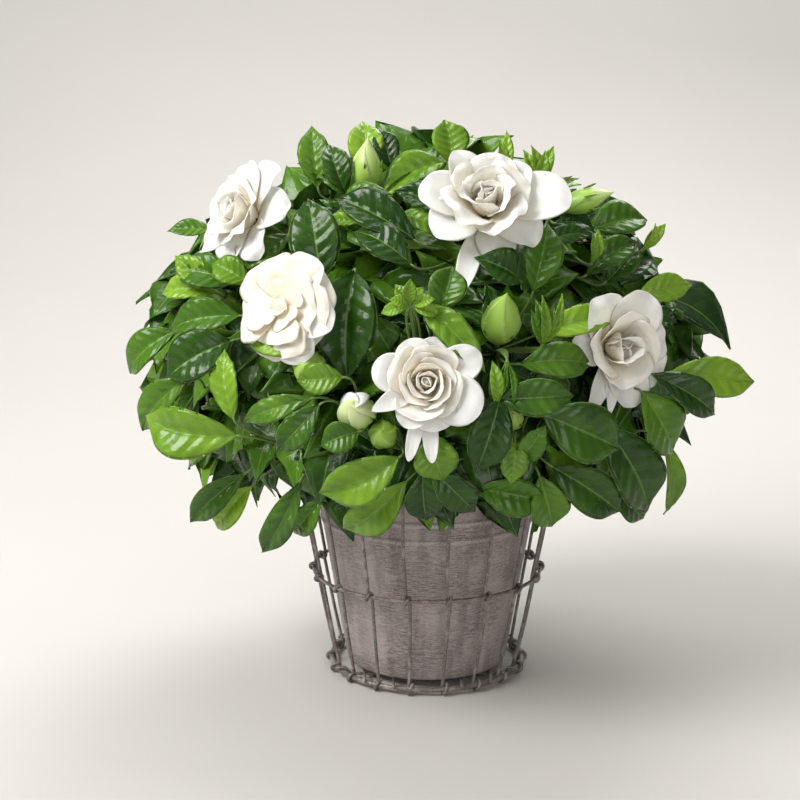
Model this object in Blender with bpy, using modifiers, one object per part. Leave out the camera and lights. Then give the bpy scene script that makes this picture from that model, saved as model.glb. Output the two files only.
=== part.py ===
"""Potted gardenia: a flowering plant in a tapered pot that stands in a wire basket.

Metres, +Z up, the front faces -Y. The origin is the middle of the base, on the surface that
the basket stands on.
"""

import math
import random

import bmesh
import bpy
from mathutils import Matrix, Quaternion, Vector
from mathutils.bvhtree import BVHTree

MM = 0.001
GAP = 0.3 * MM

# Pot and soil
POT_FLOOR_Z = 6.8 * MM
POT_RIM_Z = 145 * MM
POT_BOTTOM_RADIUS = 58.2 * MM
POT_NECK_RADIUS = 79.6 * MM
POT_RIM_RADIUS = 83 * MM
POT_WALL = 3.5 * MM
BAND_HEIGHTS = (113 * MM, 126 * MM)
BAND_HALF_HEIGHT = 3.2 * MM
BAND_DEPTH = 1.6 * MM
SOIL_TOP_Z = 133 * MM
POT_SIDES = 32
RIM_HEIGHT = 8 * MM
RIM_STEP = 1 * MM
RIM_BEVEL = 2.5 * MM
RIM_ROLL = 6 * MM

# Basket wires
WIRE_RADIUS = 1.2 * MM
WIRE_SIDES = 6
BOTTOM_HOOP_RADIUS = 70.1 * MM
BOTTOM_HOOP_WIRE = 2.0 * MM
MID_HOOP_RADIUS = 82.8 * MM
MID_HOOP_WIRE = 1.3 * MM
MID_HOOP_Z = 73.5 * MM
TOP_HOOP_RADIUS = 97 * MM
TOP_HOOP_WIRE = 1.5 * MM
TOP_HOOP_Z = 147 * MM
UPRIGHTS = 18
UPRIGHT_SPREAD = 1.5 * MM
WIRE_ROLL = math.radians(24.6)  # lays a flat side of the six-sided wire on the surface
WRAP_STEP = math.radians(60)
HALF_STEP_COS = math.cos(WRAP_STEP / 2)
FLOOR_LONG_WIRES = (-45 * MM, -24 * MM, 24 * MM, 45 * MM)
FLOOR_CROSS_WIRES = (-35 * MM, 35 * MM)
FLOOR_WELD = 1.5 * WIRE_RADIUS
# How a floor wire passes the bottom hoop: distance outside it and drop below its highest run
FLOOR_HOOK = ((4.6 * MM, 2.6 * MM), (1.6 * MM, 0), (-1.6 * MM, 0))
FLOOR_HOOK_END = 5.2 * MM
# Angles of an upright round each hoop, and where it crosses over itself
TOP_TURN = (-30, 30, 90, 150, 210)
MID_TURN = (150, 210, 270, 330, 390, 450, 510, 570)
BOTTOM_TURN = (180, 240, 300, 360, 420, 475)
CROSS_FROM, CROSS_OVER = 300, 120

# Plant
TRUNK_TOP = Vector((0, 0, 163)) * MM
TRUNK_RADIUS = 8 * MM
LIMB_START = 8 * MM
LIMB_ARCH = 6 * MM
LIMB_PAST = 3 * MM
LIMB_RADIUS = 4 * MM
BRANCH_RADIUS = 2.6 * MM
BRANCH_SHARE = 0.45
DOME_CENTRE = Vector((0, 0, 225)) * MM
LEAF_HALF_THICKNESS = 0.6 * MM
LEAF_CLEARANCE = 0.7 * MM
LEAF_UP = 30 * MM
LEAF_TRIES = 40
TRY_STEP = 0.35 * MM
TRY_SHRINK = 0.008
KNOT_STEP = 1.7 * MM
# Sections of a leaf or petal: share of its length and of its half width
SECTIONS = ((0.28, 0.82), (0.55, 1.0), (0.82, 0.58))
TWIG_RADIUS = 1.4 * MM
STEM_RADIUS = 2.0 * MM
END_RUN = 5 * MM
LEAVES_PER_SPRAY = 6
# Whorls of three down a shoot: distance from its tip (mm), spread (degrees), leaf length (mm)
WHORLS = ((6, 50, 58), (24, 75, 66), (44, 95, 62))
WHORL_FOOT = 5 * MM
WHORL_TURN, SHOOT_TURN = 60, 47
LEAF_DROOP = 0.16
LEAF_ASPECT = 0.44
# Whorl leaves stay above the pot and inside these bounds of x, y and z
WHORL_LOWEST = 150 * MM
WHORL_BOUNDS = (222 * MM, 186 * MM, 396 * MM)

# Forks of the trunk, where the woody branches divide (mm)
FORKS = (
    (0, 15, 225), (-60, 0, 215), (60, 5, 215), (-42, -58, 205), (42, -58, 205),
    (-48, 58, 210), (48, 58, 210),
)

# Ends of the green shoots (mm), and side twigs that carry a bud
SHOOTS = (
    {"tip": (-98, -48, 322)},
    {"tip": (33, -82, 325)},
    {"tip": (-79, -112, 274), "twig": (-74, -128, 246)},
    {"tip": (-3, -138, 236)},
    {"tip": (100, -88, 250)},
    {"tip": (-43, -55, 345)},
    {"tip": (42, -122, 258)},
    {"tip": (-46, -140, 216), "twig": (-29, -144, 204)},
    {"tip": (82, -55, 340)},
    {"tip": (132, 10, 310)},
    {"tip": (5, 35, 365)},
    {"tip": (-160, -20, 275)},
    {"tip": (-155, -60, 205)},
    {"tip": (-88, -105, 185)},
    {"tip": (8, -122, 182)},
    {"tip": (60, -128, 196), "twig": (51, -140, 212)},
    {"tip": (165, -25, 235)},
    {"tip": (125, -90, 190)},
    {"tip": (-85, 85, 325)},
    {"tip": (85, 95, 320)},
    {"tip": (-125, 105, 225)},
    {"tip": (125, 105, 230)},
    {"tip": (0, 132, 240)},
)

# Leaves set by hand: foot, tip and width (mm)
SET_LEAVES = (
    ((-18, -152, 195), (-70, -152, 167), 30), ((-19, -125, 160), (-61, -110, 112), 26),
    ((-87, -108, 164), (-114, -82, 107), 17), ((-122, -97, 179), (-160, -65, 140), 15),
    ((-130, -110, 201), (-133, -148, 247), 18), ((-73, -150, 222), (-98, -155, 191), 18),
    ((-159, -81, 286), (-198, -74, 280), 24), ((-143, -104, 281), (-176, -92, 300), 18),
    ((-134, -115, 273), (-175, -115, 256), 24), ((-129, -118, 268), (-170, -120, 237), 36),
    ((-178, -66, 257), (-226, -48, 226), 22), ((-170, -78, 227), (-207, -52, 187), 22),
    ((-136, -102, 196), (-196, -80, 204), 30), ((-95, -105, 325), (-119, -135, 309), 20),
    ((-150, -42, 322), (-180, -52, 322), 14), ((-83, -49, 352), (-82, -15, 391), 22),
    ((-83, -130, 300), (-71, -125, 344), 25), ((-50, -36, 366), (-50, 0, 397), 22),
    ((12, -29, 372), (-30, -95, 366), 24), ((-3, -30, 368), (14, 10, 398), 24),
    ((-17, -135, 318), (-62, -133, 343), 30), ((22, -117, 335), (-17, -129, 354), 20),
    ((-29, -145, 303), (-61, -176, 256), 38), ((-23, -150, 290), (28, -180, 248), 24),
    ((57, -142, 300), (84, -142, 330), 24), ((108, -101, 323), (153, -91, 334), 24),
    ((115, -122, 294), (147, -118, 314), 18), ((146, -108, 278), (190, -98, 286), 19),
    ((67, -152, 271), (122, -156, 277), 20), ((57, -158, 252), (103, -166, 258), 22),
    ((42, -160, 233), (88, -172, 235), 24), ((-4, -160, 210), (9, -172, 180), 28),
    ((6, -138, 174), (29, -132, 136), 22), ((28, -123, 157), (74, -138, 155), 26),
    ((66, -122, 165), (93, -100, 115), 26), ((72, -150, 213), (124, -142, 182), 38),
    ((109, -130, 203), (161, -95, 130), 38), ((80, -122, 173), (130, -96, 122), 30),
    ((133, -122, 219), (183, -85, 176), 30), ((168, -60, 172), (182, -78, 115), 18),
    ((159, -105, 243), (228, -76, 232), 25), ((149, -112, 232), (200, -88, 203), 24),
    ((0, 158, 262), (16, 190, 206), 34), ((-60, 142, 196), (-82, 172, 134), 32),
    ((66, 140, 196), (88, 170, 136), 32), ((5, 140, 190), (-14, 165, 128), 32),
)

# Blooms: shoot number, centre (mm), the way each faces, radius (mm)
BLOOMS = {
    "flower_top_left": (0, (-121, -60, 342), (-0.60, -0.50, 0.62), 33),
    "flower_top": (1, (39, -108, 348), (0.10, -0.72, 0.68), 44),
    "flower_left": (2, (-95, -138, 286), (-0.42, -0.86, 0.30), 31),
    "flower_front": (3, (-3, -172, 239), (0.00, -0.95, 0.30), 33),
    "flower_right": (4, (122, -112, 256), (0.52, -0.84, 0.15), 36),
}
OUTER_PETALS = 6
PETAL_LEANS = (0.12, 0.30)
PETAL_HALF_THICKNESS = 0.8 * MM
PETAL_START = 3 * MM
HEART_SHARE = 0.45
BACK_SHARE = 0.35
STALK_RADIUS = 2.4 * MM
STALK_SINK = 6 * MM

# Buds: foot (mm), the way each points, length and radius (mm)
BUDS = {
    "tall_bud": ((-43, -55, 345), (0.05, -0.10, 1.00), 42, 9),
    "green_bud": ((42, -122, 258), (0.15, -0.80, 0.75), 40, 10),
    "opening_bud": ((-46, -140, 216), (-0.05, -0.80, 0.45), 30, 12),
    "small_bud": ((-29, -144, 204), (-0.10, -0.85, 0.35), 18, 7),
    "round_bud": ((-74, -128, 246), (-0.20, -0.90, 0.20), 26, 8),
    "side_bud": ((82, -55, 340), (0.93, -0.25, 0.30), 42, 7),
    "right_bud": ((51, -140, 212), (0.05, -0.80, 0.45), 20, 6),
}
BUD_SIDES = 8
# A bud's outline: share of its radius and of its length, above a stalk of two radii
BUD_OUTLINE = ((0.0, 1.0), (0.45, 0.86), (0.9, 0.62), (1.0, 0.48), (0.72, 0.3))
BUD_STALK = (1.4 * MM, 1.2 * MM)
BUD_STALK_SHARE = 0.16


def clear_scene():
    """Remove every object, so that the part starts from nothing."""
    for thing in list(bpy.data.objects):
        bpy.data.objects.remove(thing, do_unlink=True)


def material(name, colour, roughness, metallic=0.0):
    """A Principled BSDF material in one plain colour."""
    made = bpy.data.materials.new(name)
    made.use_nodes = True
    shader = made.node_tree.nodes["Principled BSDF"]
    shader.inputs["Base Color"].default_value = (*colour, 1.0)
    shader.inputs["Roughness"].default_value = roughness
    shader.inputs["Metallic"].default_value = metallic
    return made


def add_object(name, data, finish):
    """Put mesh or curve data into the part's collection as a named object."""
    thing = bpy.data.objects.new(name, data)
    if not data.materials:
        data.materials.append(finish)
    bpy.data.collections["potted_gardenia"].objects.link(thing)
    return thing


def mesh_from(name, corners, faces):
    """A mesh from corner positions and faces, with its normals turned outwards."""
    mesh = bpy.data.meshes.new(name)
    mesh.from_pydata([tuple(corner) for corner in corners], [], faces)
    shape = bmesh.new()
    shape.from_mesh(mesh)
    bmesh.ops.recalc_face_normals(shape, faces=shape.faces)
    shape.to_mesh(mesh)
    shape.free()
    return mesh


def tube_curve(name, points, radius, tapers=None, turn=0.0):
    """A straight-sided wire or stem; tapers scales its radius at each point, turn rolls it."""
    curve = bpy.data.curves.new(name, "CURVE")
    curve.dimensions = "3D"
    curve.bevel_depth = radius
    curve.bevel_resolution = (WIRE_SIDES - 4) // 2
    curve.use_fill_caps = True
    spline = curve.splines.new("POLY")
    spline.points.add(len(points) - 1)
    for index, point in enumerate(points):
        spline.points[index].co = (*point, 1.0)
        spline.points[index].radius = tapers[index] if tapers else 1.0
        spline.points[index].tilt = turn
    return curve


def tube_mesh(name, points, radius, tapers=None):
    """The same tube as a closed mesh, ready to be joined to others."""
    curve = tube_curve(name, points, radius, tapers)
    holder = bpy.data.objects.new(name, curve)
    bpy.context.scene.collection.objects.link(holder)
    bpy.context.view_layer.update()
    ready = holder.evaluated_get(bpy.context.evaluated_depsgraph_get())
    mesh = bpy.data.meshes.new_from_object(ready)
    bpy.data.objects.remove(holder, do_unlink=True)
    shape = bmesh.new()
    shape.from_mesh(mesh)
    bmesh.ops.remove_doubles(shape, verts=shape.verts, dist=0.01 * MM)
    bmesh.ops.recalc_face_normals(shape, faces=shape.faces)
    shape.to_mesh(mesh)
    shape.free()
    return mesh


def united(name, meshes, finish):
    """One closed body out of overlapping closed meshes, joined by Boolean unions."""
    cutters = bpy.data.collections["cutters"]
    body = add_object(name, meshes[0], finish)
    joined = bpy.data.collections.new(name + "_pieces")
    cutters.children.link(joined)
    for mesh in meshes[1:]:
        piece = bpy.data.objects.new(name + "_piece", mesh)
        piece.hide_render = True
        piece.display_type = "WIRE"
        joined.objects.link(piece)
    union = body.modifiers.new("join", "BOOLEAN")
    union.operation = "UNION"
    union.operand_type = "COLLECTION"
    union.collection = joined
    union.solver = "EXACT"
    bpy.context.view_layer.update()
    ready = body.evaluated_get(bpy.context.evaluated_depsgraph_get())
    result = bpy.data.meshes.new_from_object(ready)
    shape = bmesh.new()
    shape.from_mesh(result)
    bmesh.ops.remove_doubles(shape, verts=shape.verts, dist=0.003 * MM)
    bmesh.ops.dissolve_degenerate(shape, edges=shape.edges, dist=0.003 * MM)
    shape.to_mesh(result)
    shape.free()
    body.modifiers.clear()
    body.data = result
    result.materials.clear()
    result.materials.append(finish)
    for piece in list(joined.objects):
        bpy.data.objects.remove(piece, do_unlink=True)
    bpy.data.collections.remove(joined)
    return body


def turned(name, outline, finish):
    """A round piece: an outline of (radius, height) points, outer side downwards, on a Screw."""
    corners = [(radius, 0, height) for radius, height in outline]
    mesh = bpy.data.meshes.new(name)
    mesh.from_pydata(corners, [(i, i + 1) for i in range(len(corners) - 1)], [])
    thing = add_object(name, mesh, finish)
    screw = thing.modifiers.new("turn", "SCREW")
    screw.steps = POT_SIDES
    screw.render_steps = POT_SIDES
    screw.use_merge_vertices = True
    screw.merge_threshold = 0.02 * MM
    return thing


def pot_radius(height):
    """The plain wall's outer radius at a height, on a straight taper."""
    share = (height - POT_FLOOR_Z) / (BAND_HEIGHTS[-1] + 2 * BAND_HALF_HEIGHT - POT_FLOOR_Z)
    return POT_BOTTOM_RADIUS + share * (POT_NECK_RADIUS - POT_BOTTOM_RADIUS)


def make_pot(finish):
    """The tapered pot with a rolled rim and two raised bands."""
    inner_floor = POT_FLOOR_Z + POT_WALL
    inner_rim = POT_RIM_RADIUS - 1.5 * POT_WALL
    outline = [(0, inner_floor), (pot_radius(inner_floor) - POT_WALL, inner_floor),
               (inner_rim, POT_RIM_Z - RIM_HEIGHT), (inner_rim, POT_RIM_Z - RIM_STEP),
               (POT_RIM_RADIUS - RIM_BEVEL, POT_RIM_Z), (POT_RIM_RADIUS, POT_RIM_Z - RIM_BEVEL),
               (POT_RIM_RADIUS - RIM_STEP, POT_RIM_Z - RIM_ROLL),
               (POT_NECK_RADIUS, POT_RIM_Z - RIM_HEIGHT - RIM_STEP)]
    for height in reversed(BAND_HEIGHTS):
        for offset, depth in ((1, 0), (0.45, 1), (-0.45, 1), (-1, 0)):
            level = height + offset * BAND_HALF_HEIGHT
            outline.append((pot_radius(level) + depth * BAND_DEPTH, level))
    outline.append((POT_BOTTOM_RADIUS, POT_FLOOR_Z + RIM_STEP))
    outline.append((POT_BOTTOM_RADIUS - RIM_STEP, POT_FLOOR_Z))
    outline.append((0, POT_FLOOR_Z))
    return turned("pot", outline, finish)


def make_soil(finish):
    """The soil, clear of the pot by the gap, slightly crowned."""
    inner_floor = POT_FLOOR_Z + POT_WALL
    foot = pot_radius(inner_floor) - POT_WALL
    rim = POT_RIM_RADIUS - 1.5 * POT_WALL
    share = (SOIL_TOP_Z - inner_floor) / (POT_RIM_Z - RIM_HEIGHT - inner_floor)
    edge = foot + share * (rim - foot)
    outline = [(0, SOIL_TOP_Z), (edge - 3 * GAP, SOIL_TOP_Z - RIM_STEP),
               (foot - 3 * GAP, inner_floor + GAP), (0, inner_floor + GAP)]
    return turned("potting_soil", outline, finish)


def make_hoop(name, radius, wire, height, finish):
    """A hoop of round wire, its corners level with the uprights."""
    bpy.ops.mesh.primitive_torus_add(major_radius=radius, minor_radius=wire,
                                     major_segments=2 * UPRIGHTS, minor_segments=WIRE_SIDES,
                                     location=(0, 0, height))
    hoop = bpy.context.active_object
    for collection in list(hoop.users_collection):
        collection.objects.unlink(hoop)
    bpy.data.collections["potted_gardenia"].objects.link(hoop)
    hoop.name = name
    hoop.data.materials.append(finish)
    return hoop


def wrap_radius(hoop_wire):
    """How far an upright's centre stays from a hoop's centre while it goes round it."""
    return (hoop_wire + WIRE_RADIUS + GAP) / HALF_STEP_COS


def wrap(hoop_radius, hoop_wire, height, degrees):
    """Points of an upright round a hoop; the angle is 0 outside, 90 on top and 180 inside."""
    reach = wrap_radius(hoop_wire)
    points = []
    for angle in degrees:
        turn = math.radians(angle)
        shift = min(max((angle - CROSS_FROM) / CROSS_OVER, 0), 1)
        points.append((hoop_radius + reach * math.cos(turn), (2 * shift - 1) * UPRIGHT_SPREAD,
                       height + reach * math.sin(turn)))
    return points


def make_basket(finish):
    """Three hoops, eighteen uprights wrapped round them, and the welded floor."""
    flat = WIRE_RADIUS * math.cos(math.pi / WIRE_SIDES) * HALF_STEP_COS
    bottom_z = wrap_radius(BOTTOM_HOOP_WIRE) * HALF_STEP_COS + flat
    make_hoop("bottom_ring", BOTTOM_HOOP_RADIUS, BOTTOM_HOOP_WIRE, bottom_z, finish)
    make_hoop("mid_ring", MID_HOOP_RADIUS, MID_HOOP_WIRE, MID_HOOP_Z, finish)
    make_hoop("top_ring", TOP_HOOP_RADIUS, TOP_HOOP_WIRE, TOP_HOOP_Z, finish)
    path = wrap(TOP_HOOP_RADIUS, TOP_HOOP_WIRE, TOP_HOOP_Z, TOP_TURN)
    path += wrap(MID_HOOP_RADIUS, MID_HOOP_WIRE, MID_HOOP_Z, MID_TURN)
    path += wrap(BOTTOM_HOOP_RADIUS, BOTTOM_HOOP_WIRE, bottom_z, BOTTOM_TURN)
    curve = tube_curve("upright", path, WIRE_RADIUS, turn=WIRE_ROLL)
    for index in range(UPRIGHTS):
        upright = add_object(f"upright_{index + 1:02d}", curve, finish)
        upright.rotation_euler[2] = math.radians(360 / UPRIGHTS * index)
    make_floor(bottom_z, finish)


def floor_wire(offset, height, along_x, hoop_z):
    """One floor wire: level under the pot, then up and over the bottom hoop at both ends."""
    hoop = math.sqrt(BOTTOM_HOOP_RADIUS ** 2 - offset ** 2)
    over = hoop_z + BOTTOM_HOOP_WIRE + WIRE_RADIUS + 2 * GAP
    slant = BOTTOM_HOOP_RADIUS / hoop
    side = [(hoop + outside * slant, over - drop) for outside, drop in FLOOR_HOOK]
    side.append((hoop - FLOOR_HOOK_END * slant, height))
    run = [(-distance, z) for distance, z in side] + [(distance, z) for distance, z in side[::-1]]
    if along_x:
        points = [(distance, offset, z) for distance, z in run]
    else:
        points = [(offset, distance, z) for distance, z in run]
    return tube_mesh("floor_wire", points, WIRE_RADIUS)


def make_floor(hoop_z, finish):
    """The welded grid under the pot: long wires over two cross wires, sunk into each other."""
    long_z = POT_FLOOR_Z - GAP - WIRE_RADIUS
    cross_z = long_z - FLOOR_WELD
    wires = [floor_wire(offset, long_z, False, hoop_z) for offset in FLOOR_LONG_WIRES]
    wires += [floor_wire(offset, cross_z, True, hoop_z) for offset in FLOOR_CROSS_WIRES]
    united("floor_grid", [wires[-1]] + wires[:-1], finish)


def nearest_fork(point):
    """The fork that lies nearest to a point."""
    return min((Vector(fork) * MM for fork in FORKS), key=lambda fork: (fork - point).length)


def branch_end(tip):
    """Where the woody branch towards a shoot ends, a set share of the way from its fork."""
    fork = nearest_fork(tip)
    return fork + BRANCH_SHARE * (tip - fork)


def make_woody_stems(finish):
    """The trunk, one limb to each fork and one branch to each shoot, grown as one body."""
    foot = Vector((0, 0, SOIL_TOP_Z + GAP))
    limbs = [tube_mesh("trunk", [foot, (foot + TRUNK_TOP) / 2, TRUNK_TOP], TRUNK_RADIUS,
                       [1.0, 0.85, 0.75])]
    start = TRUNK_TOP - Vector((0, 0, LIMB_START))
    for fork in FORKS:
        fork = Vector(fork) * MM
        bend = start.lerp(fork, 0.5) + Vector((0, 0, LIMB_ARCH))
        past = fork + LIMB_PAST * (fork - bend).normalized()
        limbs.append(tube_mesh("limb", [start, bend, past], LIMB_RADIUS, [1.0, 0.9, 0.8]))
    for shoot in SHOOTS:
        tip = Vector(shoot["tip"]) * MM
        fork = nearest_fork(tip)
        end = branch_end(tip)
        limbs.append(tube_mesh("branch", [fork, end], BRANCH_RADIUS, [1.0, 0.8]))
    return united("woody_stems", limbs, finish)


def blade(foot, tip, width, half_thickness, up, bow=0.1, fold=0.22, root=None, grow=0.0):
    """Corners and faces of a leaf or petal: four-cornered sections along a bowed midrib.

    Each section is a shallow V: left edge, top of the midrib, right edge, underside of the
    midrib. root is where the leaf stalk starts inside its stem, and grow adds to each side.
    """
    along = tip - foot
    length = along.length
    axis = along.normalized()
    across = axis.cross(up)
    if across.length < 0.05:
        across = axis.cross(Vector((0.3, -0.8, 0.5)))
    across.normalize()
    face = across.cross(axis).normalized()
    stalk = TWIG_RADIUS * 0.7 + grow
    sections = []
    if root is not None:
        bend = axis.rotation_difference(foot - root)
        half_bend = Quaternion().slerp(bend, 0.5)
        sections.append((root, bend @ across, bend @ face, stalk, stalk, 0.0))
        sections.append((foot, half_bend @ across, half_bend @ face, stalk, stalk, 0.0))
    else:
        sections.append((foot, across, face, stalk, stalk, 0.0))
    for share, spread in SECTIONS:
        middle = foot + share * along + face * (4 * bow * length * share * (1 - share))
        half = spread * width / 2
        sections.append((middle, across, face, half + grow, half_thickness + grow, fold * half))
    corners = []
    for middle, side, top, half, thick, lift in sections:
        corners += [middle - side * half + top * lift, middle + top * thick,
                    middle + side * half + top * lift, middle - top * thick]
    corners.append(tip + axis * grow)
    faces = [(3, 2, 1, 0)]
    for k in range(len(sections) - 1):
        a, b = 4 * k, 4 * k + 4
        for i in range(4):
            j = (i + 1) % 4
            faces.append((a + i, a + j, b + j, b + i))
    last = 4 * (len(sections) - 1)
    for i in range(4):
        faces.append((last + i, last + (i + 1) % 4, len(corners) - 1))
    return corners, faces


def frame_to(direction):
    """A rotation that turns +Z to a direction."""
    return direction.to_track_quat("Z", "Y").to_matrix()


def stalk_start(foot, direction):
    """Where a stalk begins: the gap past the end of the stem below it."""
    return foot + GAP * 2 * direction


def bloom_back(name):
    """The middle of a bloom's back, where its stalk arrives."""
    centre, facing, radius = BLOOMS[name][1:]
    return (Vector(centre) - Vector(facing).normalized() * radius * BACK_SHARE) * MM


def end_way(point, default):
    """The direction of what grows at a stem's end, so that the stem ends square to it."""
    for name, bloom in BLOOMS.items():
        if (Vector(SHOOTS[bloom[0]]["tip"]) * MM - point).length < GAP:
            return (bloom_back(name) - point).normalized()
    for bud in BUDS.values():
        if (Vector(bud[0]) * MM - point).length < GAP:
            return Vector(bud[1]).normalized()
    return default


def make_bloom(name, finish):
    """A double bloom: a stalk, a round heart and a ring of broad outer petals."""
    shoot, centre, facing, radius = BLOOMS[name]
    centre = Vector(centre) * MM
    facing = Vector(facing).normalized()
    radius *= MM
    tip = Vector(SHOOTS[shoot]["tip"]) * MM
    back = bloom_back(name)
    reach = (back - tip).normalized()
    stalk_end = back + reach * STALK_SINK
    parts = [tube_mesh("stalk", [stalk_start(tip, reach), stalk_end], STALK_RADIUS)]
    heart = bmesh.new()
    bmesh.ops.create_uvsphere(heart, u_segments=8, v_segments=5, radius=radius * HEART_SHARE)
    mesh = bpy.data.meshes.new("heart")
    heart.to_mesh(mesh)
    heart.free()
    mesh.transform(Matrix.Translation(centre) @ frame_to(facing).to_4x4())
    parts.insert(0, mesh)
    turn = frame_to(facing)
    for index in range(OUTER_PETALS):
        angle = 2 * math.pi * index / OUTER_PETALS
        out = turn @ Vector((math.cos(angle), math.sin(angle), 0.0))
        end = centre + radius * (out + PETAL_LEANS[index % 2] * facing)
        corners, faces = blade(back + out * PETAL_START, end, radius * 0.95,
                               PETAL_HALF_THICKNESS, facing, bow=-0.06, fold=0.15)
        parts.append(mesh_from("petal", corners, faces))
    return united(name, parts, finish)


def make_bud(name, finish):
    """A bud: a turned spindle on a short stalk, grown along its direction."""
    foot, direction, length, radius = BUDS[name]
    direction = Vector(direction).normalized()
    length *= MM
    radius *= MM
    outline = [(radius * across, length * along) for across, along in BUD_OUTLINE]
    outline += [(BUD_STALK[0], length * BUD_STALK_SHARE), (BUD_STALK[1], 0), (0, 0)]
    bud = turned(name, outline, finish)
    bud.modifiers["turn"].steps = BUD_SIDES
    bud.modifiers["turn"].render_steps = BUD_SIDES
    bud.rotation_euler = frame_to(direction).to_euler()
    bud.location = stalk_start(Vector(foot) * MM, direction)
    return bud


def nearest_on(start, end, point, rank=0):
    """The point of a straight stem nearest to a point, off both ends; rank keeps knots apart."""
    along = end - start
    share = (point - start).dot(along) / along.length_squared
    step = KNOT_STEP * rank / along.length
    return start + along * min(max(share, 0.06 + step), 0.94 - step)


def tree_of(thing):
    """A search tree of an object's evaluated faces, in world space."""
    ready = thing.evaluated_get(bpy.context.evaluated_depsgraph_get())
    mesh = ready.to_mesh()
    corners = [thing.matrix_world @ vertex.co for vertex in mesh.vertices]
    faces = [tuple(face.vertices) for face in mesh.polygons]
    ready.to_mesh_clear()
    return BVHTree.FromPolygons(corners, faces)


class Spray:
    """One green shoot: its stem, its side twig and the leaves that found room."""

    def __init__(self, number, shoot):
        self.name = f"leaf_spray_{number:02d}"
        self.tip = Vector(shoot["tip"]) * MM
        end = branch_end(self.tip)
        self.start = end + GAP * 2 * (self.tip - end).normalized()
        way = (self.tip - self.start).normalized()
        self.bend = self.tip - END_RUN * end_way(self.tip, way)
        self.pieces = [tube_mesh("stem", [self.start, self.bend, self.tip], STEM_RADIUS,
                                 [1.0, 0.8, 0.75])]
        if "twig" in shoot:
            side = Vector(shoot["twig"]) * MM
            knot = nearest_on(self.start, self.bend, side)
            bend = side - END_RUN * end_way(side, way)
            self.pieces.append(tube_mesh("twig", [knot, bend, side], TWIG_RADIUS))
        self.trees = []
        for piece in self.pieces:
            corners = [vertex.co.copy() for vertex in piece.vertices]
            faces = [tuple(face.vertices) for face in piece.polygons]
            self.trees.append(BVHTree.FromPolygons(corners, faces))
        self.blades = []
        self.twigs = self.trees[1:]

    def add_leaf(self, foot, tip, width, obstacles):
        """Add a leaf, moved a little further at each try, or none if nowhere near is clear."""
        root = nearest_on(self.start, self.bend, foot, len(self.blades) + 1)
        rng = random.Random(round(1e5 * (foot.x + 3 * foot.y + 7 * foot.z)))
        for attempt in range(LEAF_TRIES):
            slack = TRY_STEP * attempt
            shift = Vector([rng.uniform(-slack, slack) for axis in range(3)])
            swing = Vector([rng.uniform(-slack, slack) for axis in range(3)])
            start, end = foot + shift, tip + shift + swing
            up = (start + end) / 2 - DOME_CENTRE
            up.z += LEAF_UP
            size = width * (1 - TRY_SHRINK * attempt)
            test = blade(start, end, size, LEAF_HALF_THICKNESS, up, root=root,
                         grow=LEAF_CLEARANCE)
            tree = BVHTree.FromPolygons(*test)
            if any(tree.overlap(other) for other in obstacles):
                continue
            shape = blade(start, end, size, LEAF_HALF_THICKNESS, up, root=root)
            own = BVHTree.FromPolygons(*blade(start, end, size, LEAF_HALF_THICKNESS, up))
            if any(tree.overlap(other) for other in self.blades + self.twigs):
                continue
            self.pieces.append(mesh_from("leaf", *shape))
            self.trees.append(BVHTree.FromPolygons(*shape))
            self.blades.append(own)
            return


def whorl_leaves(spray, number):
    """Foot, tip and width of the leaves that grow in threes down a shoot."""
    axis = (spray.tip - spray.start).normalized()
    side = axis.orthogonal().normalized()
    for level, (back, spread, length) in enumerate(WHORLS):
        for arm in range(3):
            angle = math.radians(120 * arm + WHORL_TURN * level + SHOOT_TURN * number)
            out = Matrix.Rotation(angle, 3, axis) @ side
            lean = math.radians(spread)
            heading = axis * math.cos(lean) + out * math.sin(lean)
            foot = spray.tip - axis * back * MM + heading * WHORL_FOOT
            tip = foot + heading * length * MM - Vector((0, 0, LEAF_DROOP * length * MM))
            yield foot, tip, LEAF_ASPECT * length * MM


def make_sprays(finish):
    """All leaf sprays: the leaves set by hand first, then whorls wherever there is room."""
    others = [tree_of(thing) for thing in bpy.data.collections["potted_gardenia"].objects]
    sprays = [Spray(number + 1, shoot) for number, shoot in enumerate(SHOOTS)]

    def obstacles(spray):
        return others + [tree for other in sprays if other is not spray for tree in other.trees]

    for foot, tip, width in SET_LEAVES:
        foot, tip = Vector(foot) * MM, Vector(tip) * MM
        spray = min(sprays, key=lambda one: (nearest_on(one.start, one.bend, foot) - foot).length)
        spray.add_leaf(foot, tip, width * MM, obstacles(spray))
    for number, spray in enumerate(sprays):
        for foot, tip, width in whorl_leaves(spray, number):
            above_pot = min(foot.z, tip.z) > WHORL_LOWEST
            inside = all(abs(tip[axis]) < WHORL_BOUNDS[axis] for axis in range(3))
            if len(spray.blades) < LEAVES_PER_SPRAY and above_pot and inside:
                spray.add_leaf(foot, tip, width, obstacles(spray))
    for spray in sprays:
        united(spray.name, spray.pieces, finish)


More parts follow.
